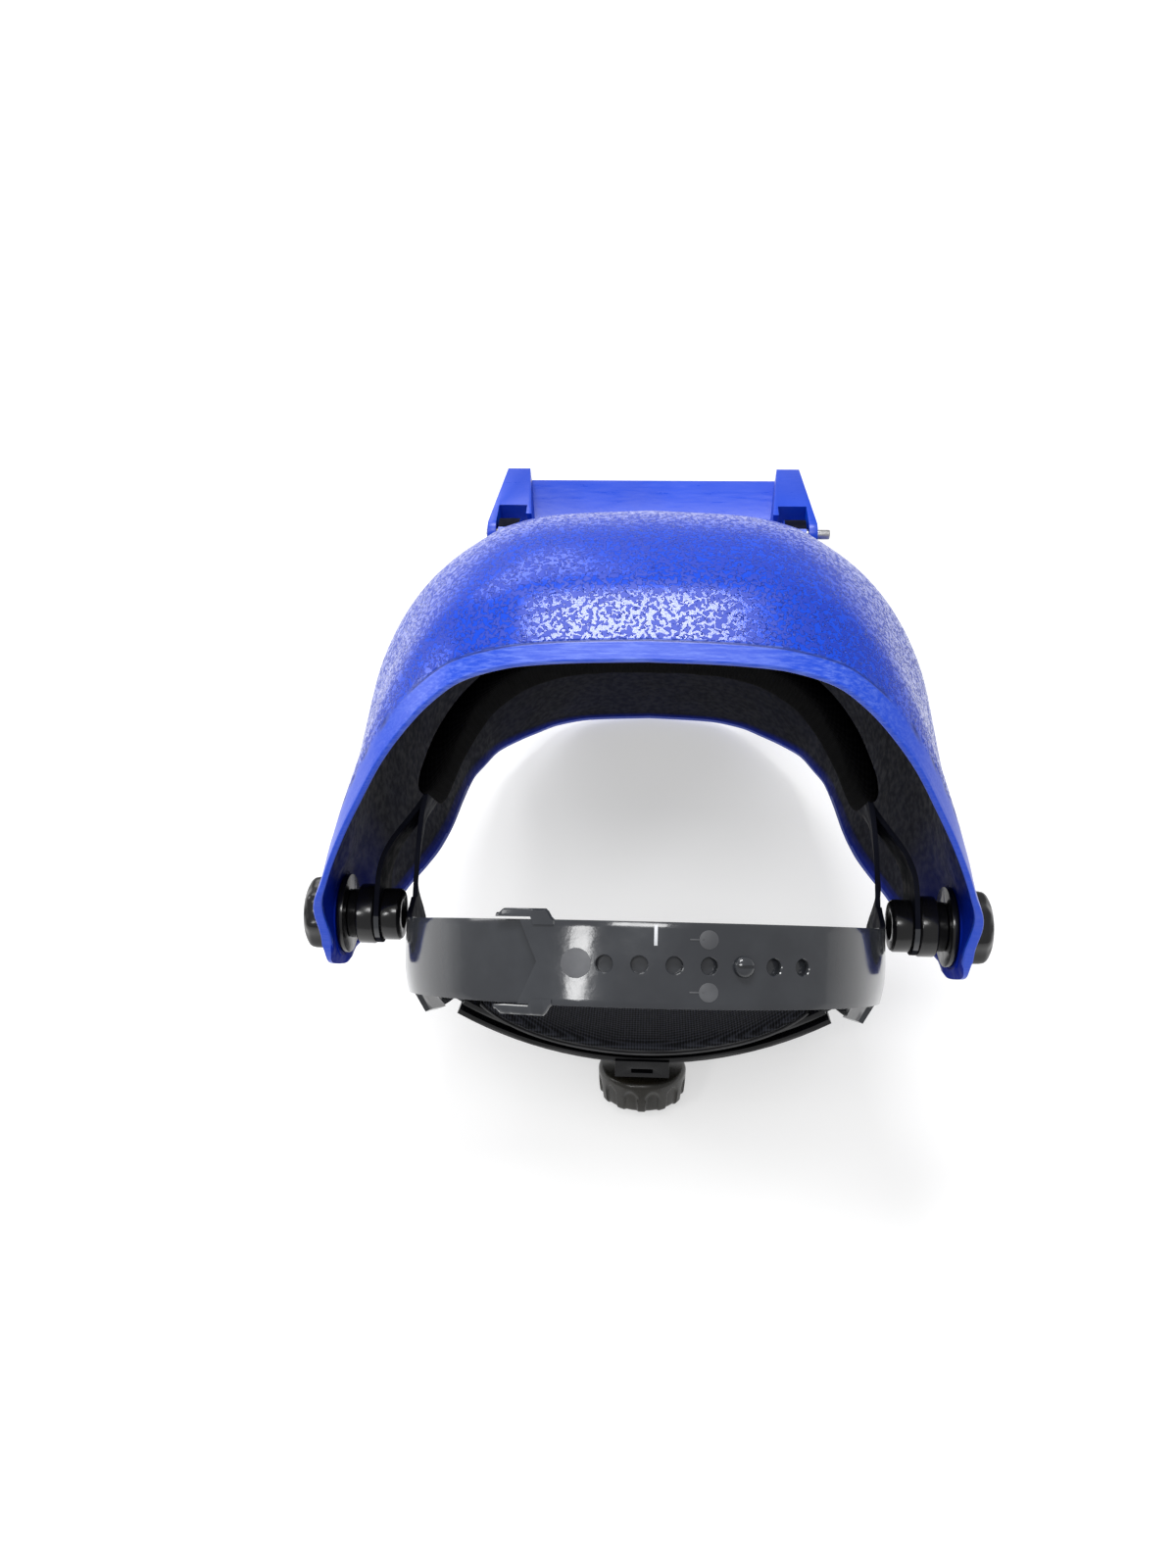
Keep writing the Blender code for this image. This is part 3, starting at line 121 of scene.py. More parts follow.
RATCHET_KNOB_DIAMETER = 0.037
RATCHET_KNOB_PROTRUSION = 0.030
RATCHET_COLLAR_DIAMETER = 0.019
KNOB_GRIPS = 12

# Values that only the scene has: lengths in metres, angles in degrees
EAR_END = 0.0188
EAR_END_LEAN = 12.7
EAR_SOFTNESS = 24.0
LOW_STRAP_END = 38.0
SIDE_TAPER = 0.002
ROOT_WIDTH = 0.012
ROOT_HEIGHT = 0.028
PAD_OVERHANG = 0.006
REAR_CURL = 0.0065
SIDE_FLARE = 0.0045
DIAL_MARGIN = 0.0009
EAR_SIDE = 0.8
SHELL_COLUMNS = 96
BAND_WIDTH = 0.0060
BAND_WIDENING = 0.0026
LOW_BAND_WIDTH = 0.0050
BAND_SLANT = 0.0016
GROOVE_DEPTH = 0.00022
GROOVE_WIDTH = 0.00035
EDGE_ROUND = 0.0006
SKIN_GAP = 0.0009
FRAME_ROUND = 0.0012
STRAP_EDGE_ROUND = 0.0004
FOOT_SHARES = np.linspace(-1, 1, 13)
HOLES_FROM_PIN = (-4, -3, -2, -1, 0, 1, 2)
SHARP_ANGLE = 32
STITCH_PITCH = 0.0042
THREAD_RADIUS = 0.00032
FLOOR_HALF_WIDTH = 4.0
FLOOR_DROP = 0.0004

# Camera: focal length and long side in the photo's pixels, and the pivot axis as the camera sees it
FOCAL_PX = 1250.0
LONG_SIDE_PX = 1600.0
PIVOT_SEEN = (0.0205, 0.0497, 0.4486)
CAMERA_TILT = 21.0
CAMERA_RIGHT = (1.0, 0.018, -0.052)

# Lamps: name, place, target, size in metres, power in watts
LAMPS = (
    ("grain", (0.05, -0.33, 1.2), (0, 0.03, 0.25), (0.46, 0.24), 8),
    ("rim", (0.03, 0.42, 1.35), (0, 0.05, 0.25), (0.5, 0.22), 5),
    ("window", (0.63, 0.69, 1.25), (0.02, 0.13, 0.2), (0.17, 0.26), 2.2),
    ("side", (1.1, -0.25, 0.6), (0.08, 0, 0.2), (0.5, 0.5), 3),
    ("front", (0.5, -1.1, 0.9), (0, 0, 0.12), (0.8, 0.6), 5),
)

# Shell: points of the centre line and of its sections, as shares of the sizes above
CENTRE_LINE = ((1.0, -1.0), (0.994, -0.75), (0.985, -0.5), (0.976, -0.25), (0.970, -0.06), (0.951, 0.095),
               (0.909, 0.314), (0.835, 0.552), (0.744, 0.743), (0.622, 0.895), (0.482, 0.985), (0.329, 1.0))
SECTIONS = {
    0: ((0, 1.0), (.04, .965), (.08, .927), (.16, .88), (.24, .848), (.30, .812), (.36, .783), (.45, .764),
        (.55, .757), (.65, .744), (.72, .711), (.79, .672), (.86, .584), (.90, .516), (.95, .42), (.985, .27),
        (1, 0)),
    2: ((0, 1.0), (.05, .973), (.12, .935), (.22, .90), (.34, .868), (.46, .85), (.58, .84), (.68, .82),
        (.76, .78), (.83, .715), (.89, .625), (.94, .51), (.975, .37), (.995, .19), (1, 0)),
    5: ((0, 1.0), (.05, .985), (.12, .957), (.23, .938), (.365, .92), (.478, .907), (.567, .89), (.652, .87),
        (.736, .82), (.826, .74), (.893, .65), (.955, .55), (.98, .42), (.995, .22), (1, 0)),
    7: ((0, 1.0), (.08, .975), (.19, .941), (.318, .907), (.446, .878), (.535, .857), (.637, .827),
        (.732, .776), (.815, .705), (.885, .612), (.936, .51), (.965, .435), (.99, .27), (1, 0)),
    9: ((0, 1.005), (.12, .977), (.25, .935), (.37, .888), (.50, .832), (.62, .774), (.73, .71), (.82, .64),
        (.90, .545), (.955, .44), (.985, .33), (.997, .17), (1, 0)),
    11: ((0, 1.01), (.13, .99), (.27, .945), (.41, .886), (.55, .814), (.67, .747), (.78, .667), (.86, .595),
         (.93, .506), (.965, .414), (.982, .335), (.995, .17), (1, 0)),
}

# Frames of the part, from its joints
joints = {j["name"]: j for j in frame["joints"]}
PIVOT = Vector(joints["shell_pivot"]["pos_m"])
to_door = Vector(joints["door_hinge"]["pos_m"]) - PIVOT
LEAN = math.atan2(to_door.z, -to_door.y) - math.atan2(DOOR_AXIS_RISE, DOOR_AXIS_FORWARD)


def frame_matrix(parent, forward, rise, lean):
    return parent @ Matrix.Translation((0.0, -forward, rise)) @ Matrix.Rotation(-math.radians(lean), 4, "X")


SHELL = Matrix.Translation(PIVOT) @ Matrix.Rotation(-LEAN, 4, "X")
HEAD = frame_matrix(SHELL, STRAP_FOOT_FORWARD, STRAP_FOOT_RISE, HEADGEAR_LEAN)
NAPE = frame_matrix(HEAD, NAPE_FORWARD, NAPE_RISE, NAPE_LEAN)


# Camera, floor and light
def make_camera():
    """The photo's camera, placed by how the pivot axis and the shell's frame sit in the picture."""
    tilt = math.radians(CAMERA_TILT)
    right = Vector(CAMERA_RIGHT).normalized()
    ahead = Vector((0.0, -math.cos(tilt), math.sin(tilt)))
    ahead = (ahead - ahead.dot(right) * right).normalized()
    up = right.cross(ahead)
    axes = SHELL.to_3x3()
    world = (-axes.col[0], -axes.col[1], axes.col[2])
    seen = (right, ahead, up)

    def to_world(v):
        return sum((v.dot(s) * w for s, w in zip(seen, world)), Vector())

    x, down, look = (to_world(Vector(e)) for e in ((1, 0, 0), (0, 1, 0), (0, 0, 1)))
    data = bpy.data.cameras.new("camera")
    data.lens = FOCAL_PX / LONG_SIDE_PX * data.sensor_width
    data.clip_start = 0.02
    camera = bpy.data.objects.new("camera", data)
    bpy.context.scene.collection.objects.link(camera)
    place = PIVOT - to_world(Vector(PIVOT_SEEN))
    camera.matrix_world = Matrix((
        (x.x, -down.x, -look.x, place.x),
        (x.y, -down.y, -look.y, place.y),
        (x.z, -down.z, -look.z, place.z),
        (0, 0, 0, 1)))
    bpy.context.scene.camera = camera


def make_studio():
    """A pale floor, even white surroundings and the lamps."""
    bm = bmesh.new()
    bmesh.ops.create_grid(bm, x_segments=1, y_segments=1, size=FLOOR_HALF_WIDTH)
    mesh = bpy.data.meshes.new("floor")
    bm.to_mesh(mesh)
    bm.free()
    floor = bpy.data.objects.new("floor", mesh)
    bpy.context.scene.collection.objects.link(floor)
    floor.location.z = -FLOOR_DROP
    look = bpy.data.materials.new("floor")
    look.use_nodes = True
    shader = look.node_tree.nodes["Principled BSDF"]
    shader.inputs["Base Color"].default_value = (0.55, 0.55, 0.55, 1)
    shader.inputs["Emission Color"].default_value = (1, 1, 1, 1)
    shader.inputs["Emission Strength"].default_value = 0.5
    shader.inputs["Roughness"].default_value = 0.8
    mesh.materials.append(look)

    bpy.context.scene.view_settings.view_transform = "Standard"
    world = bpy.data.worlds.new("room")
    bpy.context.scene.world = world
    world.use_nodes = True
    background = world.node_tree.nodes["Background"]
    background.inputs["Color"].default_value = (1, 1, 1, 1)
    background.inputs["Strength"].default_value = 0.5

    for name, place, target, size, power in LAMPS:
        data = bpy.data.lights.new(name, "AREA")
        data.shape = "RECTANGLE"
        data.size, data.size_y = size
        data.energy = power
        lamp = bpy.data.objects.new(name, data)
        bpy.context.scene.collection.objects.link(lamp)
        lamp.location = place
        lamp.rotation_euler = (Vector(target) - Vector(place)).to_track_quat("-Z", "Y").to_euler()


# Materials, all from nodes
class Look:
    """A material under construction: each method adds a node and returns its output."""

    def __init__(self, name, roughness=0.4, **fixed):
        self.made = bpy.data.materials.new(name)
        self.made.use_nodes = True
        self.tree = self.made.node_tree
        self.shader = self.tree.nodes["Principled BSDF"]
        self.shader.inputs["Roughness"].default_value = roughness
        for key, value in fixed.items():
            self.shader.inputs[key.replace("_", " ")].default_value = value
        self.place = self.add("ShaderNodeTexCoord").outputs["Object"]

    def add(self, kind, **settings):
        node = self.tree.nodes.new(kind)
        for key, value in settings.items():
            setattr(node, key, value)
        return node

    def link(self, source, target):
        if hasattr(source, "links"):
            self.tree.links.new(source, target)
        else:
            target.default_value = source

    def noise(self, scale, detail=2.0, rough=0.5, distort=0.0, place=None):
        node = self.add("ShaderNodeTexNoise")
        self.link(place or self.place, node.inputs["Vector"])
        settings = {"Scale": scale, "Detail": detail, "Roughness": rough, "Distortion": distort}
        for key, value in settings.items():
            node.inputs[key].default_value = value
        return node.outputs["Fac"]

    def stretched(self, scale, turn=(0, 0, 0)):
        node = self.add("ShaderNodeMapping")
        self.link(self.place, node.inputs["Vector"])
        node.inputs["Scale"].default_value = scale
        node.inputs["Rotation"].default_value = turn
        return node.outputs["Vector"]

    def range(self, value, low, high, to_low=0.0, to_high=1.0):
        node = self.add("ShaderNodeMapRange", interpolation_type="SMOOTHSTEP")
        settings = {"Value": value, "From Min": low, "From Max": high, "To Min": to_low, "To Max": to_high}
        for key, source in settings.items():
            self.link(source, node.inputs[key])
        return node.outputs["Result"]

    def math(self, operation, a, b=0.0):
        node = self.add("ShaderNodeMath", operation=operation)
        self.link(a, node.inputs[0])
        self.link(b, node.inputs[1])
        return node.outputs[0]

    def attribute(self, name):
        return self.add("ShaderNodeAttribute", attribute_name=name).outputs["Fac"]

    def mix(self, share, a, b):
        node = self.add("ShaderNodeMix", data_type="RGBA")
        self.link(share, node.inputs[0])
        for socket, colour in ((node.inputs[6], a), (node.inputs[7], b)):
            self.link(colour if hasattr(colour, "links") else (*colour, 1.0), socket)
        return node.outputs[2]

    def colour(self, value):
        source = value if hasattr(value, "links") else (*value, 1.0)
        self.link(source, self.shader.inputs["Base Color"])

    def rough(self, value):
        self.link(value, self.shader.inputs["Roughness"])

    def bump(self, height, distance, strength=1.0, before=None):
        node = self.add("ShaderNodeBump")
        node.inputs["Strength"].default_value = strength
        node.inputs["Distance"].default_value = distance
        self.link(height, node.inputs["Height"])
        if before:
            self.link(before, node.inputs["Normal"])
        self.link(node.outputs["Normal"], self.shader.inputs["Normal"])
        return node.outputs["Normal"]


def grained_blue():
    """Leather-like grain on the outside, fading out where the grain attribute ends, with painted shade round
    its islands and along the groove line, and a painted highlight on the bare rim band.
    """
    look = Look("blue_grain", 0.35, Specular_IOR_Level=0.45)
    grain = look.attribute("grain")
    field = look.noise(700, 0.5, 0.5, 0.8)
    islands = look.range(field, 0.49, 0.53)
    # painted shade: darker outlines round the raised islands, where their slopes turn away from the light
    outline = look.math("MULTIPLY", look.range(field, 0.44, 0.49), look.range(field, 0.49, 0.54, 1.0, 0.0))
    fine = look.noise(1500, 2.0, 0.6)
    patches = look.noise(14, 3.0, 0.5)
    raised = look.math("MULTIPLY", islands, grain)
    base = look.mix(raised, (0.0004, 0.050, 0.54), (0.0001, 0.028, 0.38))
    shade = look.math("MULTIPLY", outline, look.math("MULTIPLY", grain, 0.75))
    base = look.mix(shade, base, (0.0, 0.010, 0.20))
    base = look.mix(look.range(patches, 0.3, 0.7, 0.0, 0.2), base, (0.0002, 0.034, 0.42))
    # painted highlight: pale streaks of sheen on the bare rim band, strongest near the middle of the front
    streaks = look.noise(150, 5.0, 0.75, place=look.stretched((0.5, 7, 7)))
    bare = look.math("SUBTRACT", 1.0, grain)
    split = look.add("ShaderNodeSeparateXYZ")
    look.link(look.place, split.inputs[0])
    painted_sheen_middle = look.range(look.math("ABSOLUTE", split.outputs[0]), 0.050, 0.100, 1.0, 0.25)
    pale = look.math("MULTIPLY", look.range(streaks, 0.40, 0.68, 0.05, 0.65), painted_sheen_middle)
    pale = look.math("MULTIPLY", pale, bare)
    base = look.mix(pale, base, (0.13, 0.21, 0.68))
    # painted shade: a dark line along the groove beside the rim band
    line = look.attribute("groove")
    look.colour(look.mix(line, base, (0.0003, 0.004, 0.07)))
    gloss = look.range(look.math("ADD", raised, look.math("MULTIPLY", fine, 0.4)), 0.0, 1.4, 0.17, 0.50)
    look.rough(look.math("ADD", gloss, look.math("MULTIPLY", bare, 0.14)))
    height = look.math("ADD", raised, look.math("MULTIPLY", fine, 0.08))
    look.bump(height, 0.0004, 0.9)
    return look.made


def smooth_blue():
    look = Look("blue_smooth", 0.34)
    patches = look.noise(25, 3.0)
    streaks = look.noise(90, 4.0, 0.7, place=look.stretched((1, 8, 8)))
    base = look.mix(look.range(patches, 0.3, 0.7), (0.0005, 0.040, 0.44), (0.0010, 0.048, 0.50))
    look.colour(look.mix(look.range(streaks, 0.60, 0.8, 0.0, 0.3), base, (0.05, 0.11, 0.58)))
    look.rough(look.range(streaks, 0.3, 0.75, 0.27, 0.45))
    look.bump(look.noise(700, 3.0), 0.00006, 0.5)
    return look.made


def shaded_inside_blue():
    """The inside of the shell: the same blue plastic with painted shade, dark navy deep inside and bluer
    towards its edges where the light reaches.
    """
    look = Look("blue_inside_painted_shade", 0.5, Specular_IOR_Level=0.05)
    near = look.attribute("edge")
    mottle = look.noise(30, 3.0)
    # painted shade: the near-black navy stands for the blue plastic in shadow; the edge attribute mixes in
    # painted light
    base = look.mix(look.range(mottle, 0.3, 0.7), (0.0005, 0.0010, 0.0065), (0.0008, 0.0018, 0.013))
    look.colour(look.mix(near, base, (0.0004, 0.016, 0.32)))
    look.rough(look.range(look.noise(350, 3.0), 0.3, 0.7, 0.42, 0.6))
    look.bump(look.noise(420, 3.0, 0.6), 0.00012, 0.5)
    return look.made


def plastic(name, low, high, roughness, bump=0.00005, wear=0.0, coat=0.0, specular=0.5):
    """Moulded plastic: mottled colour, uneven gloss and, with wear, fine pale scratches."""
    look = Look(name, roughness, Coat_Weight=coat, Specular_IOR_Level=specular)
    mottle = look.noise(45, 4.0)
    base = look.mix(look.range(mottle, 0.3, 0.7), low, high)
    if wear:
        lines = look.noise(120, 5.0, 0.8, place=look.stretched((1, 14, 3), (0.4, 0.2, 0.7)))
        scratch = tuple(min(1, 6 * c + 0.03) for c in high)
        base = look.mix(look.range(lines, 0.72, 0.8, 0.0, wear), base, scratch)
    look.colour(base)
    look.rough(look.range(look.noise(160, 4.0, 0.6), 0.25, 0.75, 0.8 * roughness, 1.35 * roughness))
    look.bump(look.noise(600, 3.0), bump, 0.5)
    return look.made


def woven(name, low, high, pitch, roughness=0.85, specular=0.3):
    """Cloth of two crossing sets of threads, each pitch metres apart, with painted shade between the threads,
    painted light on their tops and random tone along them.
    """
    look = Look(name, roughness, Specular_IOR_Level=specular)
    split = look.add("ShaderNodeSeparateXYZ")
    look.link(look.place, split.inputs[0])
    turns = 2 * math.pi / pitch
    warp = look.math("SINE", look.math("MULTIPLY", split.outputs[0], turns))
    weft = look.math("SINE", look.math("MULTIPLY", split.outputs[2], turns))
    threads = look.math("MAXIMUM", warp, weft)
    over = look.math("MULTIPLY", warp, weft)
    height = look.math("ADD", threads, look.math("MULTIPLY", over, 0.5))
    slub = look.noise(900, 3.0, 0.6)
    # painted shade and light: the colour follows the threads' height, darker in the gaps and lighter on top,
    # mixed with random slub
    lit = look.range(look.math("ADD", height, look.math("MULTIPLY", slub, 0.8)), 0.2, 1.8)
    look.colour(look.mix(lit, low, high))
    look.bump(height, 0.00018, 0.7)
    return look.made


def brushed_steel():
    look = Look("steel", 0.3, Metallic=1.0)
    streaks = look.noise(900, 4.0, 0.7, place=look.stretched((0.15, 1, 1)))
    look.colour(look.mix(look.range(streaks, 0.3, 0.7), (0.42, 0.42, 0.43), (0.62, 0.62, 0.63)))
    look.rough(look.range(streaks, 0.3, 0.7, 0.22, 0.42))
    look.bump(streaks, 0.00004, 0.4)
    return look.made


def glass(name, tint, depth_tint, roughness, transmission):
    look = Look(name, roughness, Transmission_Weight=transmission, IOR=1.55)
    smears = look.noise(35, 5.0, 0.6)
    look.colour(look.mix(look.range(smears, 0.3, 0.75), tint, depth_tint))
    look.rough(look.range(smears, 0.35, 0.8, roughness, roughness + 0.06))
    return look.made


# Shape helpers
def smoothstep(value):
    value = np.clip(value, 0.0, 1.0)
    return value * value * (3 - 2 * value)


def signed_power(value, power):
    return math.copysign(abs(value) ** power, value)


def bezier(bends, share):
    """Point of a cubic curve at a share of its way."""
    rest = 1 - share
    first = rest ** 3 * bends[0] + 3 * rest * rest * share * bends[1]
    return first + 3 * rest * share * share * bends[2] + share ** 3 * bends[3]


def add_object(name, bm, matrix, *looks, smooth_angle=35.0, body=None, merge=1e-6):
    bmesh.ops.remove_doubles(bm, verts=bm.verts, dist=merge)
    bmesh.ops.recalc_face_normals(bm, faces=bm.faces)
    bmesh.ops.transform(bm, matrix=matrix, verts=bm.verts)
    mesh = bpy.data.meshes.new(name)
    bm.to_mesh(mesh)
    bm.free()
    mesh.shade_smooth()
    mesh.set_sharp_from_angle(angle=math.radians(smooth_angle))
    made = bpy.data.objects.new(name, mesh)
    bpy.context.scene.collection.objects.link(made)
    for look in looks:
        mesh.materials.append(look)
    if body:
        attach(made, body)
    return made


def box(bm, x, forward, rise):
    lo = Vector((min(x), -max(forward), min(rise)))
    hi = Vector((max(x), -min(forward), max(rise)))
    place = Matrix.Translation((lo + hi) / 2)
    bmesh.ops.create_cube(bm, size=1.0, matrix=place @ Matrix.Diagonal((*(hi - lo), 1.0)))
    return bm


def loft(bm, rings, ends=True):
    """Faces between rings of vertices, one after the other, with a face over each end."""
    for a, b in zip(rings, rings[1:]):
        for k in range(len(a)):
            m = (k + 1) % len(a)
            bm.faces.new((a[k], a[m], b[m], b[k]))
    if ends:
        bm.faces.new(rings[0])
        bm.faces.new(rings[-1])


def close_sheet(bm, a, b):
    """Faces over two grids of vertices and round their border. Returns the faces of the second grid."""
    r, c = len(a), len(a[0])
    back = []
    for i in range(r - 1):
        for j in range(c - 1):
            bm.faces.new((a[i][j], a[i][j + 1], a[i + 1][j + 1], a[i + 1][j]))
            back.append(bm.faces.new((b[i][j], b[i + 1][j], b[i + 1][j + 1], b[i][j + 1])))
    edge = [(0, j) for j in range(c)] + [(i, c - 1) for i in range(1, r)]
    edge += [(r - 1, j) for j in range(c - 2, -1, -1)] + [(i, 0) for i in range(r - 2, 0, -1)]
    for (i, j), (k, m) in zip(edge, edge[1:] + edge[:1]):
        bm.faces.new((a[i][j], b[i][j], b[k][m], a[k][m]))
    return back


def turned(bm, profile, segments, place, grip=None):
    """A body of revolution from (along, radius) points. place maps (along, p, q) to the frame."""
    rings = []
    for along, radius in profile:
        if radius < 1e-7:
            rings.append([bm.verts.new(place(along, 0.0, 0.0))])
            continue
        ring = []
        for i in range(segments):
            angle = 2 * math.pi * i / segments
            r = radius * (grip(along, angle) if grip else 1.0)
            ring.append(bm.verts.new(place(along, r * math.cos(angle), r * math.sin(angle))))
        rings.append(ring)
    for a, b in zip(rings, rings[1:]):
        for i in range(segments):
            j = (i + 1) % segments
            unique = list(dict.fromkeys((a[i % len(a)], a[j % len(a)], b[j % len(b)], b[i % len(b)])))
            if len(unique) > 2:
                bm.faces.new(unique)
    for ring in (rings[0], rings[-1]):
        if len(ring) > 1:
            bm.faces.new(ring)
    return bm


def slopes(x, y):
    h = np.diff(x)
    d = np.diff(y, axis=0) / h[:, None]
    m = np.zeros_like(y)
    m[0], m[-1] = d[0], d[-1]
    same = d[:-1] * d[1:] > 0
    w1, w2 = 2 * h[1:] + h[:-1], h[1:] + 2 * h[:-1]
    safe0, safe1 = np.where(same, d[:-1], 1.0), np.where(same, d[1:], 1.0)
    m[1:-1] = np.where(same, (w1 + w2)[:, None] / (w1[:, None] / safe0 + w2[:, None] / safe1), 0.0)
    return m


def smooth_through(x, y, at):
    x, y = np.asarray(x, float), np.asarray(y, float).reshape(len(x), -1)
    m = slopes(x, y)
    i = np.clip(np.searchsorted(x, at) - 1, 0, len(x) - 2)
    h = x[i + 1] - x[i]
    s = ((at - x[i]) / h)[:, None]
    h = h[:, None]
    return ((1 + 2 * s) * (1 - s) ** 2 * y[i] + s * (1 - s) ** 2 * h * m[i]
            + s * s * (3 - 2 * s) * y[i + 1] + s * s * (s - 1) * h * m[i + 1])


def lengths_along(points):
    return np.concatenate([[0.0], np.cumsum(np.linalg.norm(np.diff(points, axis=0), axis=1))])


def spread(points, count):
    """The same line with its points at even steps."""
    at = lengths_along(points)
    wanted = np.linspace(0, at[-1], count)
    return np.column_stack([np.interp(wanted, at, column) for column in points.T])


def even_points(points, count):
    """Points at even steps on a smooth curve through the given ones."""
    points = np.asarray(points, float)
    at = lengths_along(points)
    return spread(smooth_through(at, points, np.linspace(0, at[-1], 900)), count)


def coordinates(mesh):
    co = np.empty(len(mesh.vertices) * 3)
    mesh.vertices.foreach_get("co", co)
    return co.reshape(-1, 3)


def apply_modifiers(obj):
    """Keeps the evaluated mesh of an object as its own."""
    bpy.context.view_layer.update()
    graph = bpy.context.evaluated_depsgraph_get()
    mesh = bpy.data.meshes.new_from_object(obj.evaluated_get(graph))
    obj.modifiers.clear()
    obj.data = mesh
    return mesh


def combine(target, operation, *helpers):
    """Applies a boolean with each helper and removes the helper."""
    for helper in helpers:
        modifier = target.modifiers.new(helper.name, "BOOLEAN")
        modifier.operation = operation
        modifier.solver = "EXACT"
        modifier.object = helper
    mesh = apply_modifiers(target)
    for helper in helpers:
        bpy.data.objects.remove(helper, do_unlink=True)
    mesh.shade_smooth()
    mesh.set_sharp_from_angle(angle=math.radians(38))


# The shell
def shell_grid(rows, columns):
    """Outer surface of the shell: rows from the lower edge to the rim, columns from the +X to the -X ear."""
    centre = np.array([(f * CHIN_FORWARD, u * (CROWN_RISE if u > 0 else CHIN_DROP)) for f, u in CENTRE_LINE])
    centre[-1] = CROWN_FORWARD, CROWN_RISE
    at = lengths_along(centre)
    keys = sorted(SECTIONS)
    share = at / at[-1]
    centre_rows = smooth_through(share, centre, rows)
    halves = np.array([even_points(SECTIONS[k], columns + 1).ravel() for k in keys])
    halves = smooth_through(share[list(keys)], halves, rows).reshape(len(rows), -1, 2)

    def tangent(point, turn):
        beside = math.acos(EAR_RADIUS / math.hypot(*point))
        return math.degrees(math.atan2(point[1], point[0])) + turn * math.degrees(beside)

    low, high = tangent(centre[0], -1), tangent(centre[-1], 1) - 360
    angle = np.radians(low + (high - low) * rows)
    turn = angle + math.pi - math.radians(EAR_END_LEAN)
    cut = EAR_END / np.maximum(np.cos(turn), 0.1)
    radius = (EAR_RADIUS ** -EAR_SOFTNESS + cut ** -EAR_SOFTNESS) ** (-1 / EAR_SOFTNESS)
    ear = radius[:, None] * np.column_stack([np.cos(angle), np.sin(angle)])
    inward, wide = halves[..., 0:1], halves[..., 1]
    place = ear[:, None, :] + (centre_rows - ear)[:, None, :] * inward
    x = wide * SHELL_HALF_WIDTH
    blend = smoothstep((np.hypot(place[..., 0], place[..., 1]) - EAR_FLAT_RADIUS) / EAR_BLEND)
    blend = blend * (1 - 0.8 * smoothstep(-place[..., 0] / 0.014))
    x = np.where(wide > EAR_SIDE, EAR_FACE + (x - EAR_FACE) * blend, x)
    half = np.stack([x, -place[..., 0], place[..., 1]], axis=2)
    other = half[:, -2::-1].copy()
    other[..., 0] *= -1
    return np.concatenate([half, other], axis=1)


def nearest(points, line):
    """Distance from each point to a line of points."""
    out = np.empty(len(points))
    for k in range(0, len(points), 4000):
        part = points[k:k + 4000]
        out[k:k + 4000] = np.sqrt(((part[:, None] - line[None]) ** 2).sum(2).min(1))
    return out


def shell_layout():
    """The shell's grid and normals, and each point's distances to the edges and the ears."""
    rows = np.concatenate([np.linspace(0, 0.10, 20)[:-1], np.linspace(0.10, 0.90, 50)[:-1],
                           np.linspace(0.90, 0.972, 9)[:-1], np.linspace(0.972, 1, 44)])
    grid = shell_grid(rows, SHELL_COLUMNS)
    normals = np.cross(np.gradient(grid, axis=0), np.gradient(grid, axis=1))
    normals /= np.linalg.norm(normals, axis=2, keepdims=True)
    if normals[0, SHELL_COLUMNS][1] > 0:
        normals = -normals
    width = np.abs(grid[..., 0]) / SHELL_HALF_WIDTH
    ear = np.hypot(grid[..., 1], grid[..., 2])
    # the ears' normals are square to the sides
    square = np.where(width > EAR_SIDE, 1 - smoothstep((ear - EAR_RADIUS) / 0.010), 0.0)[..., None]
    sideways = np.sign(grid[..., :1]) * np.array([1.0, 0.0, 0.0])
    normals = normals * (1 - square) + sideways * square
    normals /= np.linalg.norm(normals, axis=2, keepdims=True)

    def distance(*lines):
        return nearest(grid.reshape(-1, 3), np.concatenate(lines)).reshape(grid.shape[:2])

    rim, low = distance(grid[-1]), distance(grid[0])
    at_rim = rim < low
    near = np.minimum(rim, low)
    edge = np.minimum(near, distance(grid[:, 0], grid[:, -1]))
    band = np.where(at_rim, BAND_WIDTH + BAND_WIDENING * smoothstep((width - 0.35) / 0.5), LOW_BAND_WIDTH)
    clear = np.where(width > EAR_SIDE, smoothstep((ear - 0.024) / 0.012), 1.0)
    return SimpleNamespace(grid=grid, normals=normals, ear=ear, rim=rim, at_rim=at_rim, near=near, edge=edge,
                           band=band, clear=clear)


def shell_skin(shape, *looks):
    """The wall, with a band that slants inward along the rim, a groove beside it and a rounded edge."""
    thickness = RIM_THICKNESS + (SHELL_WALL - RIM_THICKNESS) * smoothstep(shape.near / RIM_WIDTH)
    slant = -BAND_SLANT * np.clip(1 - shape.rim / shape.band, 0, 1) * shape.at_rim
    groove = -GROOVE_DEPTH * np.exp(-((shape.near - shape.band) / GROOVE_WIDTH) ** 2)
    left = np.clip(EDGE_ROUND - shape.edge, 0, EDGE_ROUND)
    rounded = EDGE_ROUND - np.sqrt(EDGE_ROUND ** 2 - left ** 2)
    shift = (slant + groove) * shape.clear - rounded
    outer = shape.grid + shape.normals * shift[..., None]
    inner = shape.grid - shape.normals * (thickness - rounded)[..., None]
    bm = bmesh.new()
    a, b = ([[bm.verts.new(p) for p in row] for row in side] for side in (outer, inner))
    for face in close_sheet(bm, a, b):
        face.material_index = 1
    return add_object("shell_skin", bm, Matrix.Identity(4), *looks), outer


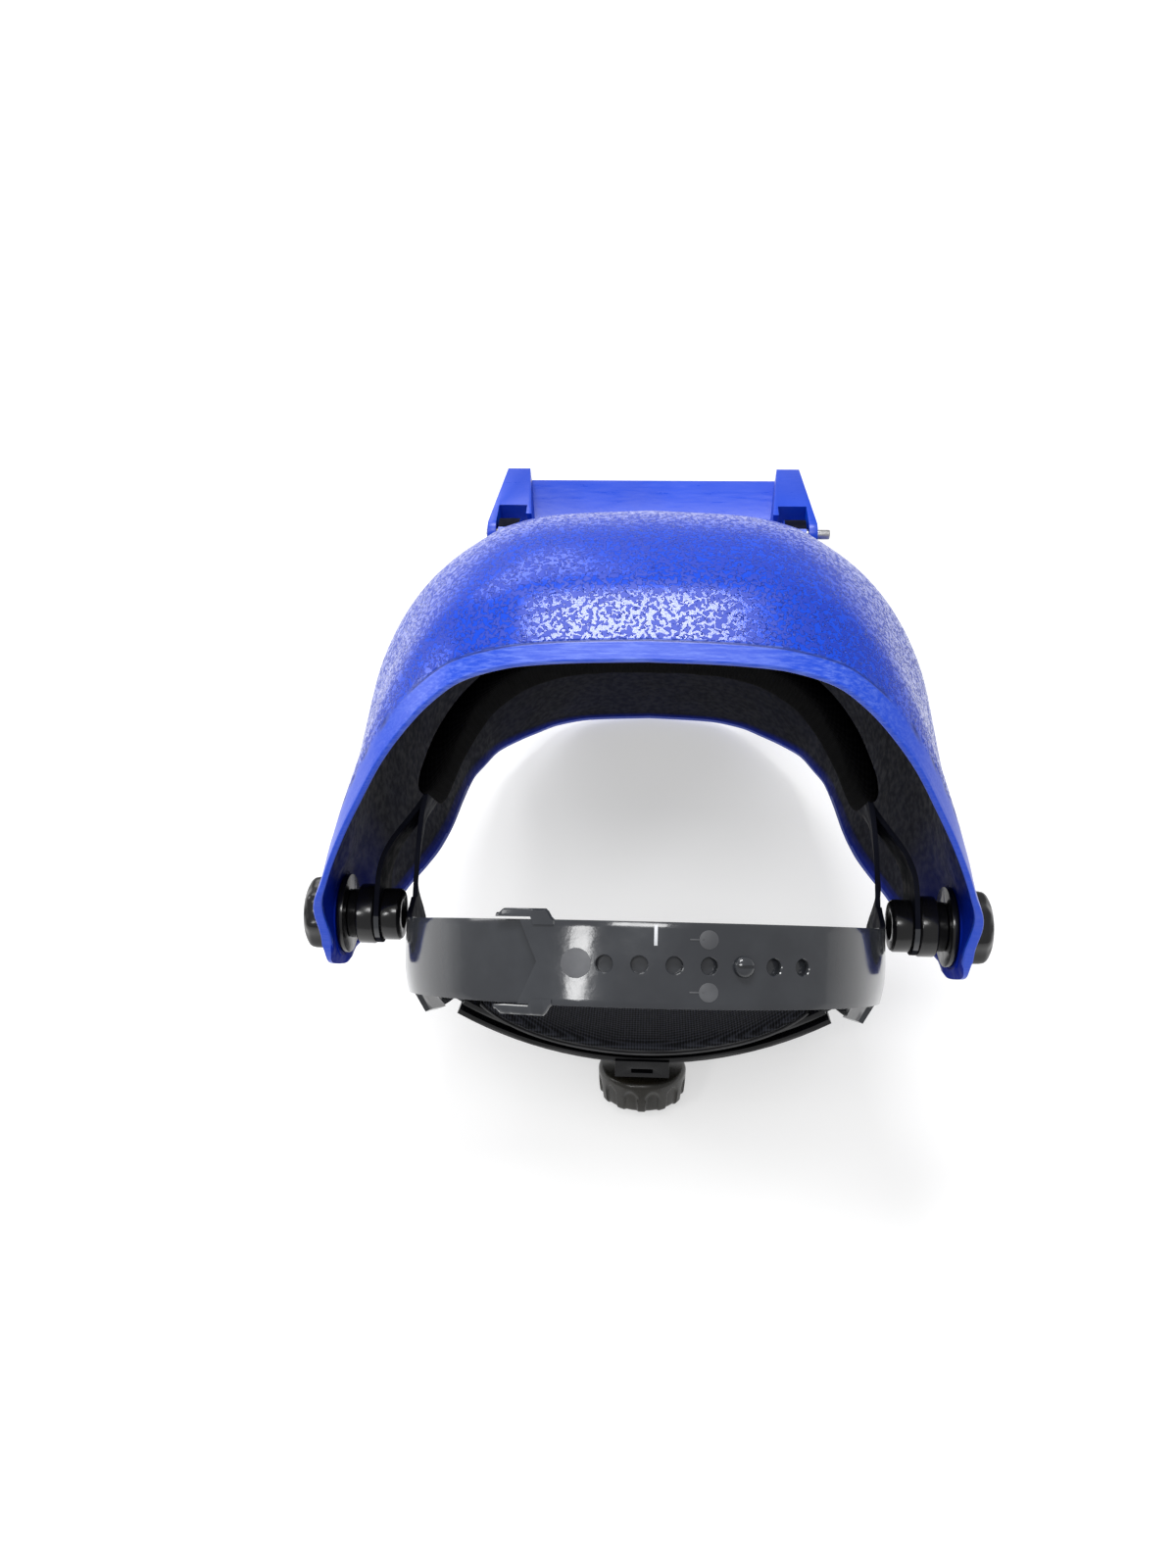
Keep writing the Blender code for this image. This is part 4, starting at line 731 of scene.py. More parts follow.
def shell_fittings(skin, smooth):
    """Joins the window frame, the hinge lugs and the ears' pads to the skin, and cuts the openings."""
    low = DOOR_AXIS_RISE - WINDOW_DROP
    front = DOOR_AXIS_FORWARD + DOOR_REACH - DOOR_FACE_THICKNESS - 2 * DOOR_WALL
    pocket_w, pocket_h = PLATE_WIDTH / 2 + FIT_GAP, PLATE_HEIGHT / 2 + FIT_GAP
    frame_w, frame_h = pocket_w + FRAME_WALL, pocket_h + FRAME_WALL
    sight_w, sight_h = PLATE_WIDTH / 2 - PLATE_LEDGE, PLATE_HEIGHT / 2 - PLATE_LEDGE
    pocket_back = front - CLEAR_PLATE_THICKNESS - FIT_GAP
    block, window, pocket = (box(bmesh.new(), (-w, w), deep, (low - h, low + h)) for w, h, deep in (
        (frame_w, frame_h, (CHIN_FORWARD - FRAME_BACK, front)),
        (sight_w, sight_h, (0.5 * CHIN_FORWARD, front + DOOR_WALL)),
        (pocket_w, pocket_h, (pocket_back, front + DOOR_WALL))))
    bmesh.ops.bevel(block, geom=block.edges[:], offset=FRAME_ROUND, segments=3, affect="EDGES", profile=0.5)

    reach = HINGE_EYE_RADIUS - RUNNING_GAP
    outline = [(DOOR_AXIS_FORWARD + reach * math.cos(a), DOOR_AXIS_RISE + reach * math.sin(a))
               for a in np.radians(np.linspace(-100, 100, 31))]
    root = DOOR_AXIS_FORWARD - 1.6 * HINGE_EYE_RADIUS
    outline += [(root, DOOR_AXIS_RISE + reach), (root, DOOR_AXIS_RISE - reach)]
    lugs, pads, seats, bores = (bmesh.new() for _ in range(4))
    seat, ear_inside = EAR_SEAT_DIAMETER / 2, EAR_FACE - SHELL_WALL
    bolt_hole = BOLT_DIAMETER / 2 + 2 * RUNNING_GAP
    pin_hole = HINGE_PIN_DIAMETER / 2 + FIT_GAP
    for side in (-1, 1):
        def at_pivot(along, p, q, side=side):
            return side * along, p, q

        def at_hinge(along, p, q, side=side):
            return side * along, p - DOOR_AXIS_FORWARD, q + DOOR_AXIS_RISE

        start = side * (DOOR_BASE_HALF_WIDTH - HINGE_EYE_WALL - 2 * RUNNING_GAP)
        lug_ends = (start, start - side * LUG_WIDTH)
        loft(lugs, [[lugs.verts.new((x, -f, u)) for f, u in outline] for x in lug_ends])
        for bm, segments, place, radius, ends in (
                (pads, 72, at_pivot, 1.04 * seat,
                 (ear_inside - EAR_PAD_MARGIN / 2, EAR_FACE + EAR_PAD_MARGIN / 2)),
                (seats, 72, at_pivot, seat, (0.85 * EAR_FACE, ear_inside)),
                (seats, 72, at_pivot, seat, (EAR_FACE, 1.12 * EAR_FACE)),
                (bores, 40, at_pivot, bolt_hole, (0.8 * EAR_FACE, 1.2 * EAR_FACE)),
                (bores, 32, at_hinge, pin_hole, (0.6 * DOOR_BASE_HALF_WIDTH, 1.2 * DOOR_BASE_HALF_WIDTH))):
            turned(bm, [(end, radius) for end in ends], segments, place)
    still = Matrix.Identity(4)
    added = {"block": block, "lugs": lugs, "pads": pads}
    taken = {"seats": seats, "window": window, "pocket": pocket, "bores": bores}
    for operation, helpers in (("UNION", added), ("DIFFERENCE", taken)):
        combine(skin, operation, *(add_object(name, bm, still, smooth) for name, bm in helpers.items()))


def shell_colours(skin, shape, outer, looks):
    """Sets where the grain lies, where painted light brightens the inside near its edges and the ear lobes,
    where the groove's painted shade line lies, and each face's material.
    """
    mesh = skin.data
    co = coordinates(mesh)
    tree = KDTree(outer.shape[0] * outer.shape[1])
    for k, p in enumerate(outer.reshape(-1, 3)):
        tree.insert(p, k)
    tree.balance()
    found = [tree.find(p) for p in co]
    index = np.array([k for _, k, _ in found])
    apart = np.array([d for _, _, d in found])
    band, near, edge, ear, clear = (getattr(shape, name).ravel()[index]
                                    for name in ("band", "near", "edge", "ear", "clear"))
    aside = np.abs(co[:, 0])
    lobe = (1 - smoothstep((ear - 0.015) / 0.035)) * (aside > 0.75 * SHELL_HALF_WIDTH)
    outside = apart < SKIN_GAP
    grain = smoothstep((edge - band - 0.0003) / 0.0006) * outside
    grain *= (ear > 0.0160) | (aside < EAR_SIDE * SHELL_HALF_WIDTH)
    # painted light on the inside: bluer within a few millimetres of the edges, wider and at least 0.35 at the
    # ear lobes
    painted_light_at_edge = 1 - smoothstep((edge - 0.0015) / (0.006 + 0.014 * lobe))
    painted_light_at_edge = np.maximum(painted_light_at_edge, 0.35 * lobe)
    # painted shade: where the dark line along the groove beside the rim band is painted
    line = np.exp(-((near - band) / 0.00040) ** 2) * clear * outside
    for name, values in (("grain", grain), ("edge", painted_light_at_edge), ("groove", 0.8 * line)):
        attribute = mesh.attributes.new(name, "FLOAT", "POINT")
        attribute.data.foreach_set("value", values.astype(np.float32))

    mesh.materials.clear()
    for look in looks:
        mesh.materials.append(look)
    kinds = np.ones(len(mesh.polygons), int)
    for k, p in enumerate(mesh.polygons):
        ids = list(p.vertices)
        in_front = p.center.y < -0.965 * CHIN_FORWARD and p.normal.y < 0.5
        # lug faces that are not outer skin keep the dark inside material: painted shade in the hinge slots
        lug = p.center.z > DOOR_AXIS_RISE - 1.1 * HINGE_EYE_RADIUS and p.center.y < -0.86 * CHIN_FORWARD
        if apart[ids].min() < SKIN_GAP:
            kinds[k] = 0
        elif not lug and (in_front or near[ids[0]] < 0.0002):
            kinds[k] = 2
    mesh.polygons.foreach_set("material_index", kinds)


def build_shell(grained, smooth, inside):
    shape = shell_layout()
    skin, outer = shell_skin(shape, grained, inside, smooth)
    shell_fittings(skin, smooth)
    shell_colours(skin, shape, outer, (grained, inside, smooth))
    skin.data.transform(SHELL)
    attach(skin, "shell")
    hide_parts("mask_shell")


# The moulded headband
def hoop_x(forward):
    """Half width of the headband at a distance ahead of the strap's foot. It curls in a little behind it."""
    curl = REAR_CURL * (min(0.0, forward) / (STRAP_WIDTH / 2 + STRAP_FILLET)) ** 2
    full = max(0.0, 1 - (max(0.0, forward) / HOOP_FRONT) ** HOOP_SQUARENESS)
    return HOOP_HALF_WIDTH * full ** (1 / HOOP_SQUARENESS) - curl


def hoop_line(start, count):
    """Even points (x, forward) round the hoop's front, from one side to the other."""
    first = math.asin(min(1.0, (start / HOOP_FRONT)) ** (HOOP_SQUARENESS / 2))
    angles = np.linspace(first, math.pi - first, 2401)
    power = 2 / HOOP_SQUARENESS
    x = HOOP_HALF_WIDTH * np.sign(np.cos(angles)) * np.abs(np.cos(angles)) ** power
    return spread(np.column_stack([x, HOOP_FRONT * np.abs(np.sin(angles)) ** power]), count)


def low_outset(forward):
    """How far the headband's lower edge stands out from its upper edge."""
    ahead = float(smoothstep((forward - 0.010) / 0.018)) * (1 - float(smoothstep((forward - 0.050) / 0.012)))
    behind = 1 - float(smoothstep((forward + 0.006) / 0.018))
    return SIDE_FLARE * ahead - SIDE_TAPER * behind


def add_grid(bm, points):
    made = [[bm.verts.new(p) for p in row] for row in points]
    for i in range(len(made) - 1):
        for j in range(len(made[0]) - 1):
            bm.faces.new((made[i][j], made[i][j + 1], made[i + 1][j + 1], made[i + 1][j]))


def nape_point(angle, radius, height):
    a, lean = math.radians(angle), math.radians(NAPE_LEAN)
    back = radius * math.cos(a) - NAPE_RADIUS
    return Vector((radius * math.sin(a), back * math.cos(lean) + height * math.sin(lean) - NAPE_FORWARD,
                   -back * math.sin(lean) + height * math.cos(lean) + NAPE_RISE))


def strap_radius(side, angle):
    """The +X half of the strap lies below, and the other half rises over it."""
    if side > 0:
        return STRAP_RISE
    over = float(smoothstep((70.0 - abs(angle)) / 35.0 if angle < 0 else 1.0))
    return STRAP_RISE + (SHEET + LAP_GAP) * over


def strap_point(side, angle, forward, lift=0.0):
    a = math.radians(angle)
    radius = strap_radius(side, angle) + lift
    near_foot = float(smoothstep((abs(angle) - 40) / 50))
    curled = min(hoop_x(forward), HOOP_HALF_WIDTH) - HOOP_HALF_WIDTH
    wide = HOOP_HALF_WIDTH + curled * near_foot * (forward < 0)
    return Vector((radius * math.sin(a) * wide / STRAP_RISE, -forward, SIDE_TOP + radius * math.cos(a)))


def radial(angle, side, forward=0.0):
    """Maps (outward, along the arch, ahead) at a place on the strap to the headgear's frame."""
    a = math.radians(angle)
    out = Vector((math.sin(a), 0, math.cos(a)))
    across = Vector((math.cos(a), 0, -math.sin(a)))
    base = strap_point(side, angle, forward)
    return lambda along, p, q: base + out * along + across * p + Vector((0, q, 0))


def strap_half(bm, side):
    """Half of the crown strap: rounded into the side panel, with a wider root in front and a notched end."""
    end = -LOW_STRAP_END if side > 0 else TOP_STRAP_END
    span = 90 - side * end
    steps = list(np.linspace(0, 0.08, 9)) + [0.08 + 0.92 * (i + 1) / 70 for i in range(70)]
    rows = []
    for step in steps:
        angle = side * (90 - span * step)
        height = STRAP_RISE * math.radians(90 - abs(angle)) if side * angle > 0 else STRAP_RISE
        half = STRAP_WIDTH / 2
        if height < STRAP_FILLET:
            half += STRAP_FILLET - math.sqrt(STRAP_FILLET ** 2 - (STRAP_FILLET - height) ** 2)
        root = 1 - math.sqrt(1 - (1 - height / ROOT_HEIGHT) ** 2) if height < ROOT_HEIGHT else 0.0
        row = []
        for share in FOOT_SHARES:
            forward = half * share
            if step == 0.0:
                row.append(Vector((side * hoop_x(forward), -forward, SIDE_TOP)))
                continue
            if share > 0 and root > 0:
                forward += (ROOT_WIDTH * root - max(0.0, half - STRAP_WIDTH / 2)) * share
                forward = max(forward, half * share)
            notch = -4.0 * (1 - abs(share)) * float(smoothstep((step - 0.93) / 0.07)) if side < 0 else 0.0
            row.append(strap_point(side, angle + notch, forward))
        rows.append(row)
    add_grid(bm, rows)


def rear_arm(bm, side, side_line):
    """Band that bends from under the side panel to the nape and runs into the housing."""
    last = len(side_line) // 2
    start = [Vector((side * (hoop_x(f) + low_outset(f)), -f, SIDE_BOTTOM)) for f in side_line[:last + 1]]
    first_mid = (start[0] + start[-1]) / 2
    enter = NAPE_HALF_ANGLE + 1.5
    groove = NAPE_RADIUS + 0.55 * HOUSING_DEPTH
    end_mid = nape_point(side * enter, groove, 0.0)
    low, lean = math.radians(enter), math.radians(NAPE_LEAN)
    into = Vector((-side * math.cos(low), math.sin(low) * math.cos(lean), -math.sin(low) * math.sin(lean)))
    drop = (first_mid - end_mid).length
    bends = (first_mid, first_mid + Vector((0, 0, -0.55 * drop)), end_mid - into * 0.18 * drop, end_mid)
    out_start = Vector((side, 0, 0))
    out_end = Vector((side * math.sin(low), math.cos(low) * math.cos(lean), -math.cos(low) * math.sin(lean)))
    half_start, half_end = (start[0] - start[-1]).length / 2, TONGUE_HEIGHT / 2
    rows = [start]
    count = 36
    for i in range(1, count + 1):
        t = i / count
        s = 1 - t
        along = (3 * s * s * (bends[1] - bends[0]) + 6 * s * t * (bends[2] - bends[1])
                 + 3 * t * t * (bends[3] - bends[2])).normalized()
        out = out_start.lerp(out_end, float(smoothstep(t)))
        out = (out - out.dot(along) * along).normalized()
        across = out.cross(along) * side
        half = half_start + (half_end - half_start) * float(smoothstep(t))
        rows.append([bezier(bends, t) + across * half * (1 - 2 * k / last) for k in range(last + 1)])
    for i in range(1, 9):
        angle = side * (enter - 14 * i / 8)
        rows.append([nape_point(angle, groove, half_end * (1 - 2 * k / last)) for k in range(last + 1)])
    add_grid(bm, rows)


def pivot_centre():
    lean = math.radians(HEADGEAR_LEAN)
    f, u = -STRAP_FOOT_FORWARD, -STRAP_FOOT_RISE
    return f * math.cos(lean) + u * math.sin(lean), -f * math.sin(lean) + u * math.cos(lean)


def pivot_arms(look):
    """Arms that leave the hoop behind the brow pad and end in an eye round each pivot."""
    bm = bmesh.new()
    centre_f, centre_u = pivot_centre()
    leave = SWEATBAND_END - 0.003
    for side in (1, -1):
        start = Vector((hoop_x(leave) + 0.35 * SHEET, leave))
        ahead = Vector((hoop_x(leave - 0.02) - hoop_x(leave), -0.02)).normalized()
        ahead = (ahead + Vector((0.35, 0))).normalized()
        stop = Vector((ARM_PLANE, centre_f + 1.15 * ARM_EYE_RADIUS))
        pull = 0.4 * (start - stop).length
        bends = (start, start + ahead * pull, stop + Vector((0, pull)), stop)
        line = [bezier(bends, i / 24) for i in range(25)]
        line += [Vector((ARM_PLANE, centre_f + ARM_EYE_RADIUS * math.cos(k)))
                 for k in np.linspace(0.95, math.pi, 16)]
        sheets = ([], [])
        for k, place in enumerate(line):
            step = (line[min(k + 1, len(line) - 1)] - line[max(k - 1, 0)]).normalized()
            out = Vector((-step.y, step.x))
            if out.x < 0:
                out = -out
            share = float(smoothstep(min(1.0, (leave - place.y) / (leave - centre_f))))
            mid = centre_u * share
            half = ARM_WIDTH / 2 + (ARM_EYE_RADIUS - ARM_WIDTH / 2) * share
            behind = centre_f - place.y
            if behind > 0:
                half = math.sqrt(max(ARM_EYE_RADIUS ** 2 - behind ** 2, (0.1 * ARM_EYE_RADIUS) ** 2))
            for grid, shift in zip(sheets, (SHEET / 2, -SHEET / 2)):
                p = place + out * shift
                grid.append([bm.verts.new((side * p.x, -p.y, mid + half * w)) for w in (-1, -0.5, 0, 0.5, 1)])
        close_sheet(bm, *sheets)
    return add_object("arms", bm, Matrix.Identity(4), look)


def headband_form(look):
    """Hoop, crown strap halves, rear arms and pivot arms as one sheet with softened edges."""
    bm = bmesh.new()
    foot = STRAP_WIDTH / 2 + STRAP_FILLET
    side_line = [foot * s for s in FOOT_SHARES]
    plan = [(hoop_x(f), f) for f in side_line[:-1]] + [tuple(p) for p in hoop_line(foot, 121)]
    plan += [(-hoop_x(f), f) for f in reversed(side_line[:-1])]
    rows = []
    for level in np.linspace(0, 1, 5):
        row = []
        for x, f in plan:
            brow = float(smoothstep((f - foot) / (SWEATBAND_END - foot)))
            low = SIDE_BOTTOM + (BROW_BOTTOM - SIDE_BOTTOM) * brow
            high = SIDE_TOP + (BROW_TOP - SIDE_TOP) * brow
            outset = low_outset(f) * (1 - level) * math.copysign(1, x)
            row.append((x + outset, -f, low + (high - low) * level))
        rows.append(row)
    add_grid(bm, rows)
    for side in (1, -1):
        strap_half(bm, side)
        rear_arm(bm, side, side_line)
    band = add_object("head_strap", bm, Matrix.Identity(4), look, smooth_angle=50, merge=1e-5)
    thicken = band.modifiers.new("sheet", "SOLIDIFY")
    thicken.thickness = SHEET
    thicken.offset = 0.0
    thicken.use_even_offset = True
    thicken.use_quality_normals = True
    soften = band.modifiers.new("edges", "BEVEL")
    soften.width = STRAP_EDGE_ROUND
    soften.segments = 2
    soften.limit_method = "ANGLE"
    soften.angle_limit = math.radians(50)
    combine(band, "UNION", pivot_arms(look))
    return band


def cut_headband(band):
    """Cuts the strap's holes, wider at their mouths, and the pivots' bores."""
    holes, bores = bmesh.new(), bmesh.new()
    r = HOLE_DIAMETER / 2
    top, low = SHEET / 2 + LAP_GAP / 2, SHEET / 2
    hole = ((-top, r + 0.0003), (0.0003 - low, r), (low - 0.0003, r), (low + 0.0002, r + 0.0005))
    for k in HOLES_FROM_PIN:
        turned(holes, hole, 32, radial(-PIN_ANGLE - k * HOLE_PITCH, -1))
    centre_f, centre_u = pivot_centre()
    r = BOLT_DIAMETER / 2 + FIT_GAP
    for side in (-1, 1):
        turned(bores, ((ARM_PLANE - 2 * SHEET, r), (ARM_PLANE + 2 * SHEET, r)), 32,
               lambda a, p, q, side=side: (side * a, p - centre_f, q + centre_u))
    still = Matrix.Identity(4)
    combine(band, "DIFFERENCE", add_object("holes", holes, still), add_object("bores", bores, still))


def colour_headband(band, look, strap_in_shade):
    """The part in painted shade, a darker and duller copy of the strap plastic, starts at a straight line
    ahead of the strap, takes in the pivot arms and leaves out the rear arms' outer side.
    """
    band.data.materials.clear()
    band.data.materials.append(look)
    band.data.materials.append(strap_in_shade)
    border = STRAP_WIDTH / 2 + 0.0004
    bm = bmesh.new()
    bm.from_mesh(band.data)
    whole = bm.verts[:] + bm.edges[:] + bm.faces[:]
    bmesh.ops.bisect_plane(bm, geom=whole, plane_co=(0, -border, 0), plane_no=(0, 1, 0))
    bm.to_mesh(band.data)
    bm.free()
    for p in band.data.polygons:
        in_front = -p.center.y > border and p.center.z < SIDE_TOP + 1.1 * ROOT_HEIGHT
        outer_arm = p.center.z < SIDE_BOTTOM and p.normal.x * math.copysign(1, p.center.x) > 0.2
        pivot_arm = abs(p.center.x) > HOOP_HALF_WIDTH + 0.0012 and SIDE_BOTTOM < p.center.z < SIDE_TOP
        p.material_index = int((in_front and not outer_arm) or pivot_arm)


def build_headband(look, strap_in_shade):
    band = headband_form(look)
    cut_headband(band)
    colour_headband(band, look, strap_in_shade)
    band.data.transform(HEAD)
    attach(band, "headgear")
    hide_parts("headband")


def build_pin(look):
    """The pin in one of the holes, with a domed and slotted head."""
    neck, head = HOLE_DIAMETER / 2 - 2 * FIT_GAP, HOLE_DIAMETER / 2 + 0.0006
    base = 1.5 * SHEET + LAP_GAP + 2 * FIT_GAP
    place = radial(-PIN_ANGLE, 1)
    dome = [(base + 0.0004 + 0.0016 * math.sin(a), head * math.cos(a))
            for a in np.linspace(0, math.pi / 2, 9)[:-1]]
    profile = [(0.0, neck), (base, neck), (base, head)] + dome + [(base + 0.002, 0.0)]
    pin = add_object("strap_pin", turned(bmesh.new(), profile, 32, place), Matrix.Identity(4), look)
    slot = bmesh.new()
    corners = ((-0.004, -0.00045), (-0.004, 0.00045), (0.004, 0.00045), (0.004, -0.00045))
    loft(slot, [[slot.verts.new(place(a, p, q)) for p, q in corners] for a in (base + 0.0009, base + 0.004)])
    combine(pin, "DIFFERENCE", add_object("pin_slot", slot, Matrix.Identity(4)))
    pin.data.transform(HEAD)
    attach(pin, "headgear")


def build_hooks(look):
    """Fingers at the end of the top half, along each edge of the lower half and hooked in under it."""
    half, lift = STRAP_WIDTH / 2, SHEET + LAP_GAP
    for end, name in ((1, "strap_hook_front"), (-1, "strap_hook_rear")):
        bm = bmesh.new()
        rings = []
        for k, angle in enumerate(np.linspace(TOP_STRAP_END - 7.5, TOP_STRAP_END + 5.5, 22)):
            grow = float(smoothstep(k / 3.0)) * (1.0 - 0.55 * float(smoothstep((k - 18) / 3.0)))
            near, far = half + 0.0007, half + 0.0032 * grow
            top, bottom = lift + 0.75 * SHEET, -0.9 * SHEET
            if k < 8:
                near, bottom = half - 0.0016, lift - 0.4 * SHEET
            else:
                far = max(far, near + 0.0012)
            section = ((near, bottom), (far - 0.0006, bottom), (far, bottom + 0.0006), (far, top - 0.0006),
                       (far - 0.0006, top), (near, top))
            a = math.radians(angle)
            out = Vector((math.sin(a), 0, math.cos(a)))
            base = strap_point(1, angle, 0.0)
            rings.append([bm.verts.new(base + out * u + Vector((0, -end * y, 0))) for y, u in section])
        loft(bm, rings)
        hook = add_object(name, bm, HEAD, look, body="headgear", smooth_angle=45)


def disc(radius):
    return [(radius * math.cos(t), radius * math.sin(t)) for t in np.linspace(0, 2 * math.pi, 41)[:-1]]


def bar(half_length, half_width):
    return [(-half_length, -half_width), (half_length, -half_width), (half_length, half_width),
            (-half_length, half_width)]


def build_mark(name, look, angle, forward, outline):
    """A low raised form on the top half of the strap, which follows the arch."""
    bm = bmesh.new()
    rings = []
    for up, inset in ((-0.0003, 1.0), (0.00010, 1.0), (0.00016, 0.94)):
        ring = []
        for p, q in outline:
            turn = math.degrees(p * inset / STRAP_RISE)
            ring.append(bm.verts.new(strap_point(-1, angle + turn, forward + q * inset, SHEET / 2 + up)))
        rings.append(ring)
    loft(bm, rings)
    made = add_object(name, bm, HEAD, look, body="headgear", smooth_angle=30)


def build_strap_details(look, matt, pale):
    """Pin, end hooks and moulded marks of the crown strap."""
    build_pin(look)
    build_hooks(look)
    build_mark("strap_mark_round", matt, 12.8, 0.0, disc(0.0044))
    for name, forward in (("front", 0.0076), ("rear", -0.0076)):
        build_mark(f"strap_mark_{name}", matt, -12.9, forward, disc(0.0028))
        build_mark(f"strap_tail_{name}", matt, -10.6, forward, bar(0.0021, 0.00022))
    build_mark("strap_mark_bar", pale, -2.6, 0.0086, bar(0.0005, 0.0030))


# The padding
def swell(obj, voxel, pressure, cap, frames=18):
    """Stuffs a closed form: a remesh, a short cloth run with pressure and a limit on its growth."""
    remesh = obj.modifiers.new("remesh", "REMESH")
    remesh.mode = "VOXEL"
    remesh.voxel_size = voxel
    looks = list(obj.data.materials)
    mesh = apply_modifiers(obj)
    mesh.materials.clear()
    for look in looks:
        mesh.materials.append(look)
    rest = coordinates(mesh)
    cloth = obj.modifiers.new("cloth", "CLOTH")
    settings = cloth.settings
    settings.use_pressure = True
    settings.uniform_pressure_force = pressure
    settings.effector_weights.gravity = 0.0
    settings.tension_stiffness = 25
    settings.compression_stiffness = 25
    settings.bending_stiffness = 0.6
    settings.mass = 0.1
    cloth.point_cache.frame_start = 1
    cloth.point_cache.frame_end = frames
    for step in range(1, frames + 1):
        bpy.context.scene.frame_set(step)
    graph = bpy.context.evaluated_depsgraph_get()
    shift = coordinates(obj.evaluated_get(graph).to_mesh()) - rest
    length = np.linalg.norm(shift, axis=1, keepdims=True)
    shift *= np.minimum(1.0, cap / np.maximum(length, 1e-9))
    obj.modifiers.clear()
    mesh.vertices.foreach_set("co", (rest + shift).ravel())
    bpy.context.scene.frame_set(1)
    smooth = obj.modifiers.new("smooth", "SMOOTH")
    smooth.factor = 0.5
    smooth.iterations = 4
    finer = obj.modifiers.new("finer", "SUBSURF")
    finer.levels = 1
    finer.render_levels = 1
    apply_modifiers(obj).shade_smooth()


def build_sweatband(cloth, thread):
    """Foam band folded over the front of the hoop, with a stitched seam along its lower edge."""
    line = hoop_line(SWEATBAND_END - PAD_OVERHANG, 97)
    half_t, half_h = SWEATBAND_THICKNESS / 2 - 0.0008, SWEATBAND_HEIGHT / 2 - 0.0006
    section = [(half_t * signed_power(math.cos(a), 0.6), half_h * signed_power(math.sin(a), 0.28))
               for a in np.linspace(0, 2 * math.pi, 33)[:-1]]
    bm = bmesh.new()
    rings, seam = [], []
    for k, (x, f) in enumerate(line):
        step = Vector(line[min(k + 1, len(line) - 1)]) - Vector(line[max(k - 1, 0)])
        step.normalize()
        out = Vector((step.y, -step.x))
        if out.dot(Vector((x, f))) < 0:
            out = -out
        end = min(k, len(line) - 1 - k) / 2.0
        squeeze = 0.75 + 0.25 * float(smoothstep(end / 2.0))
        puckers = 1 + 0.02 * math.sin(k * 0.9)
        ring = [(x + out.x * d * squeeze, -(f + out.y * d * squeeze), h * puckers) for d, h in section]
        rings.append([bm.verts.new(p) for p in ring])
        seam.append((x + out.x * half_t * 0.55, -(f + out.y * half_t * 0.55), -half_h * 0.985))
    loft(bm, rings)
    pad = add_object("brow_pad", bm, Matrix.Identity(4), cloth)
    swell(pad, 0.0022, 2.0, 0.0007)
    pad.data.transform(HEAD)
    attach(pad, "headgear")
    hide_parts("sweatband")
    build_stitches(np.array(seam), thread)


def build_stitches(seam, thread):
    """Short thread loops in a row along the seam."""
    bm = bmesh.new()
    at = lengths_along(seam)
    for n in range(int(at[-1] / STITCH_PITCH)):
        start, end = (Vector([np.interp(n * STITCH_PITCH + d, at, seam[:, k]) for k in range(3)])
                      for d in (0.0006, 0.0034))
        along = end - start
        length = along.length
        along.normalize()
        across = along.cross(Vector((0, 0, 1))).normalized()
        drop = along.cross(across)
        drop = -drop if drop.z > 0 else drop
        rings = []
        for t in np.linspace(0, 1, 7):
            mid = start + along * length * t + drop * (0.00055 * math.sin(math.pi * t) - 0.0001)
            rings.append([bm.verts.new(mid + (across * math.cos(a) + drop * math.sin(a)) * THREAD_RADIUS)
                          for a in np.linspace(0, 2 * math.pi, 9)[:-1]])
        loft(bm, rings)
    stitches = add_object("brow_pad_stitches", bm, HEAD, thread, body="headgear")


def nape_pad_top(angle):
    return PAD_HEIGHT / 2 * (1 - 0.35 * (abs(angle) / math.radians(PAD_HALF_ANGLE)) ** 6)


def build_nape_pad(cloth, binding):
    """Crescent pad inside the housing: a stuffed woven pad with a thin welded edge."""
    half = math.radians(PAD_HALF_ANGLE)
    bm = bmesh.new()
    rings = []
    t = PAD_THICKNESS
    for a in np.linspace(-half, half, 71):
        top = nape_pad_top(a) - 0.0006
        ring = []
        for s in np.linspace(0, 2 * math.pi, 37)[:-1]:
            h = top * signed_power(math.sin(s), 0.35)
            r = NAPE_RADIUS - t / 2 - (t / 2 - 0.0004) * signed_power(math.cos(s), 0.55)
            ring.append(bm.verts.new((r * math.sin(a), r * math.cos(a) - NAPE_RADIUS, h)))
        rings.append(ring)
    loft(bm, rings)
    pad = add_object("nape_pad", bm, Matrix.Identity(4), cloth)
    swell(pad, 0.0016, 1.5, 0.0004)
    pad.data.transform(NAPE)
    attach(pad, "headgear")
    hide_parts("rear_pad")

    bm = bmesh.new()
    path = [(a, nape_pad_top(a)) for a in np.linspace(-half, half, 90)]
    path += [(a, -nape_pad_top(a)) for a in np.linspace(half, -half, 90)]
    section = ((-0.0006, -0.0008), (0.0006, -0.0008), (0.0006, 0.0), (-0.0002, 0.0002), (-0.0006, -0.0002))
    rings = []
    r = NAPE_RADIUS - 0.0009
    for a, h in path:
        centre = Vector((r * math.sin(a), r * math.cos(a) - NAPE_RADIUS, h))
        out, up = Vector((math.sin(a), math.cos(a), 0)), Vector((0, 0, math.copysign(1, h)))
        rings.append([bm.verts.new(centre + out * y + up * z) for y, z in section])
    loft(bm, rings + rings[:1], ends=False)
    edge = add_object("nape_pad_edge", bm, NAPE, binding, body="headgear")


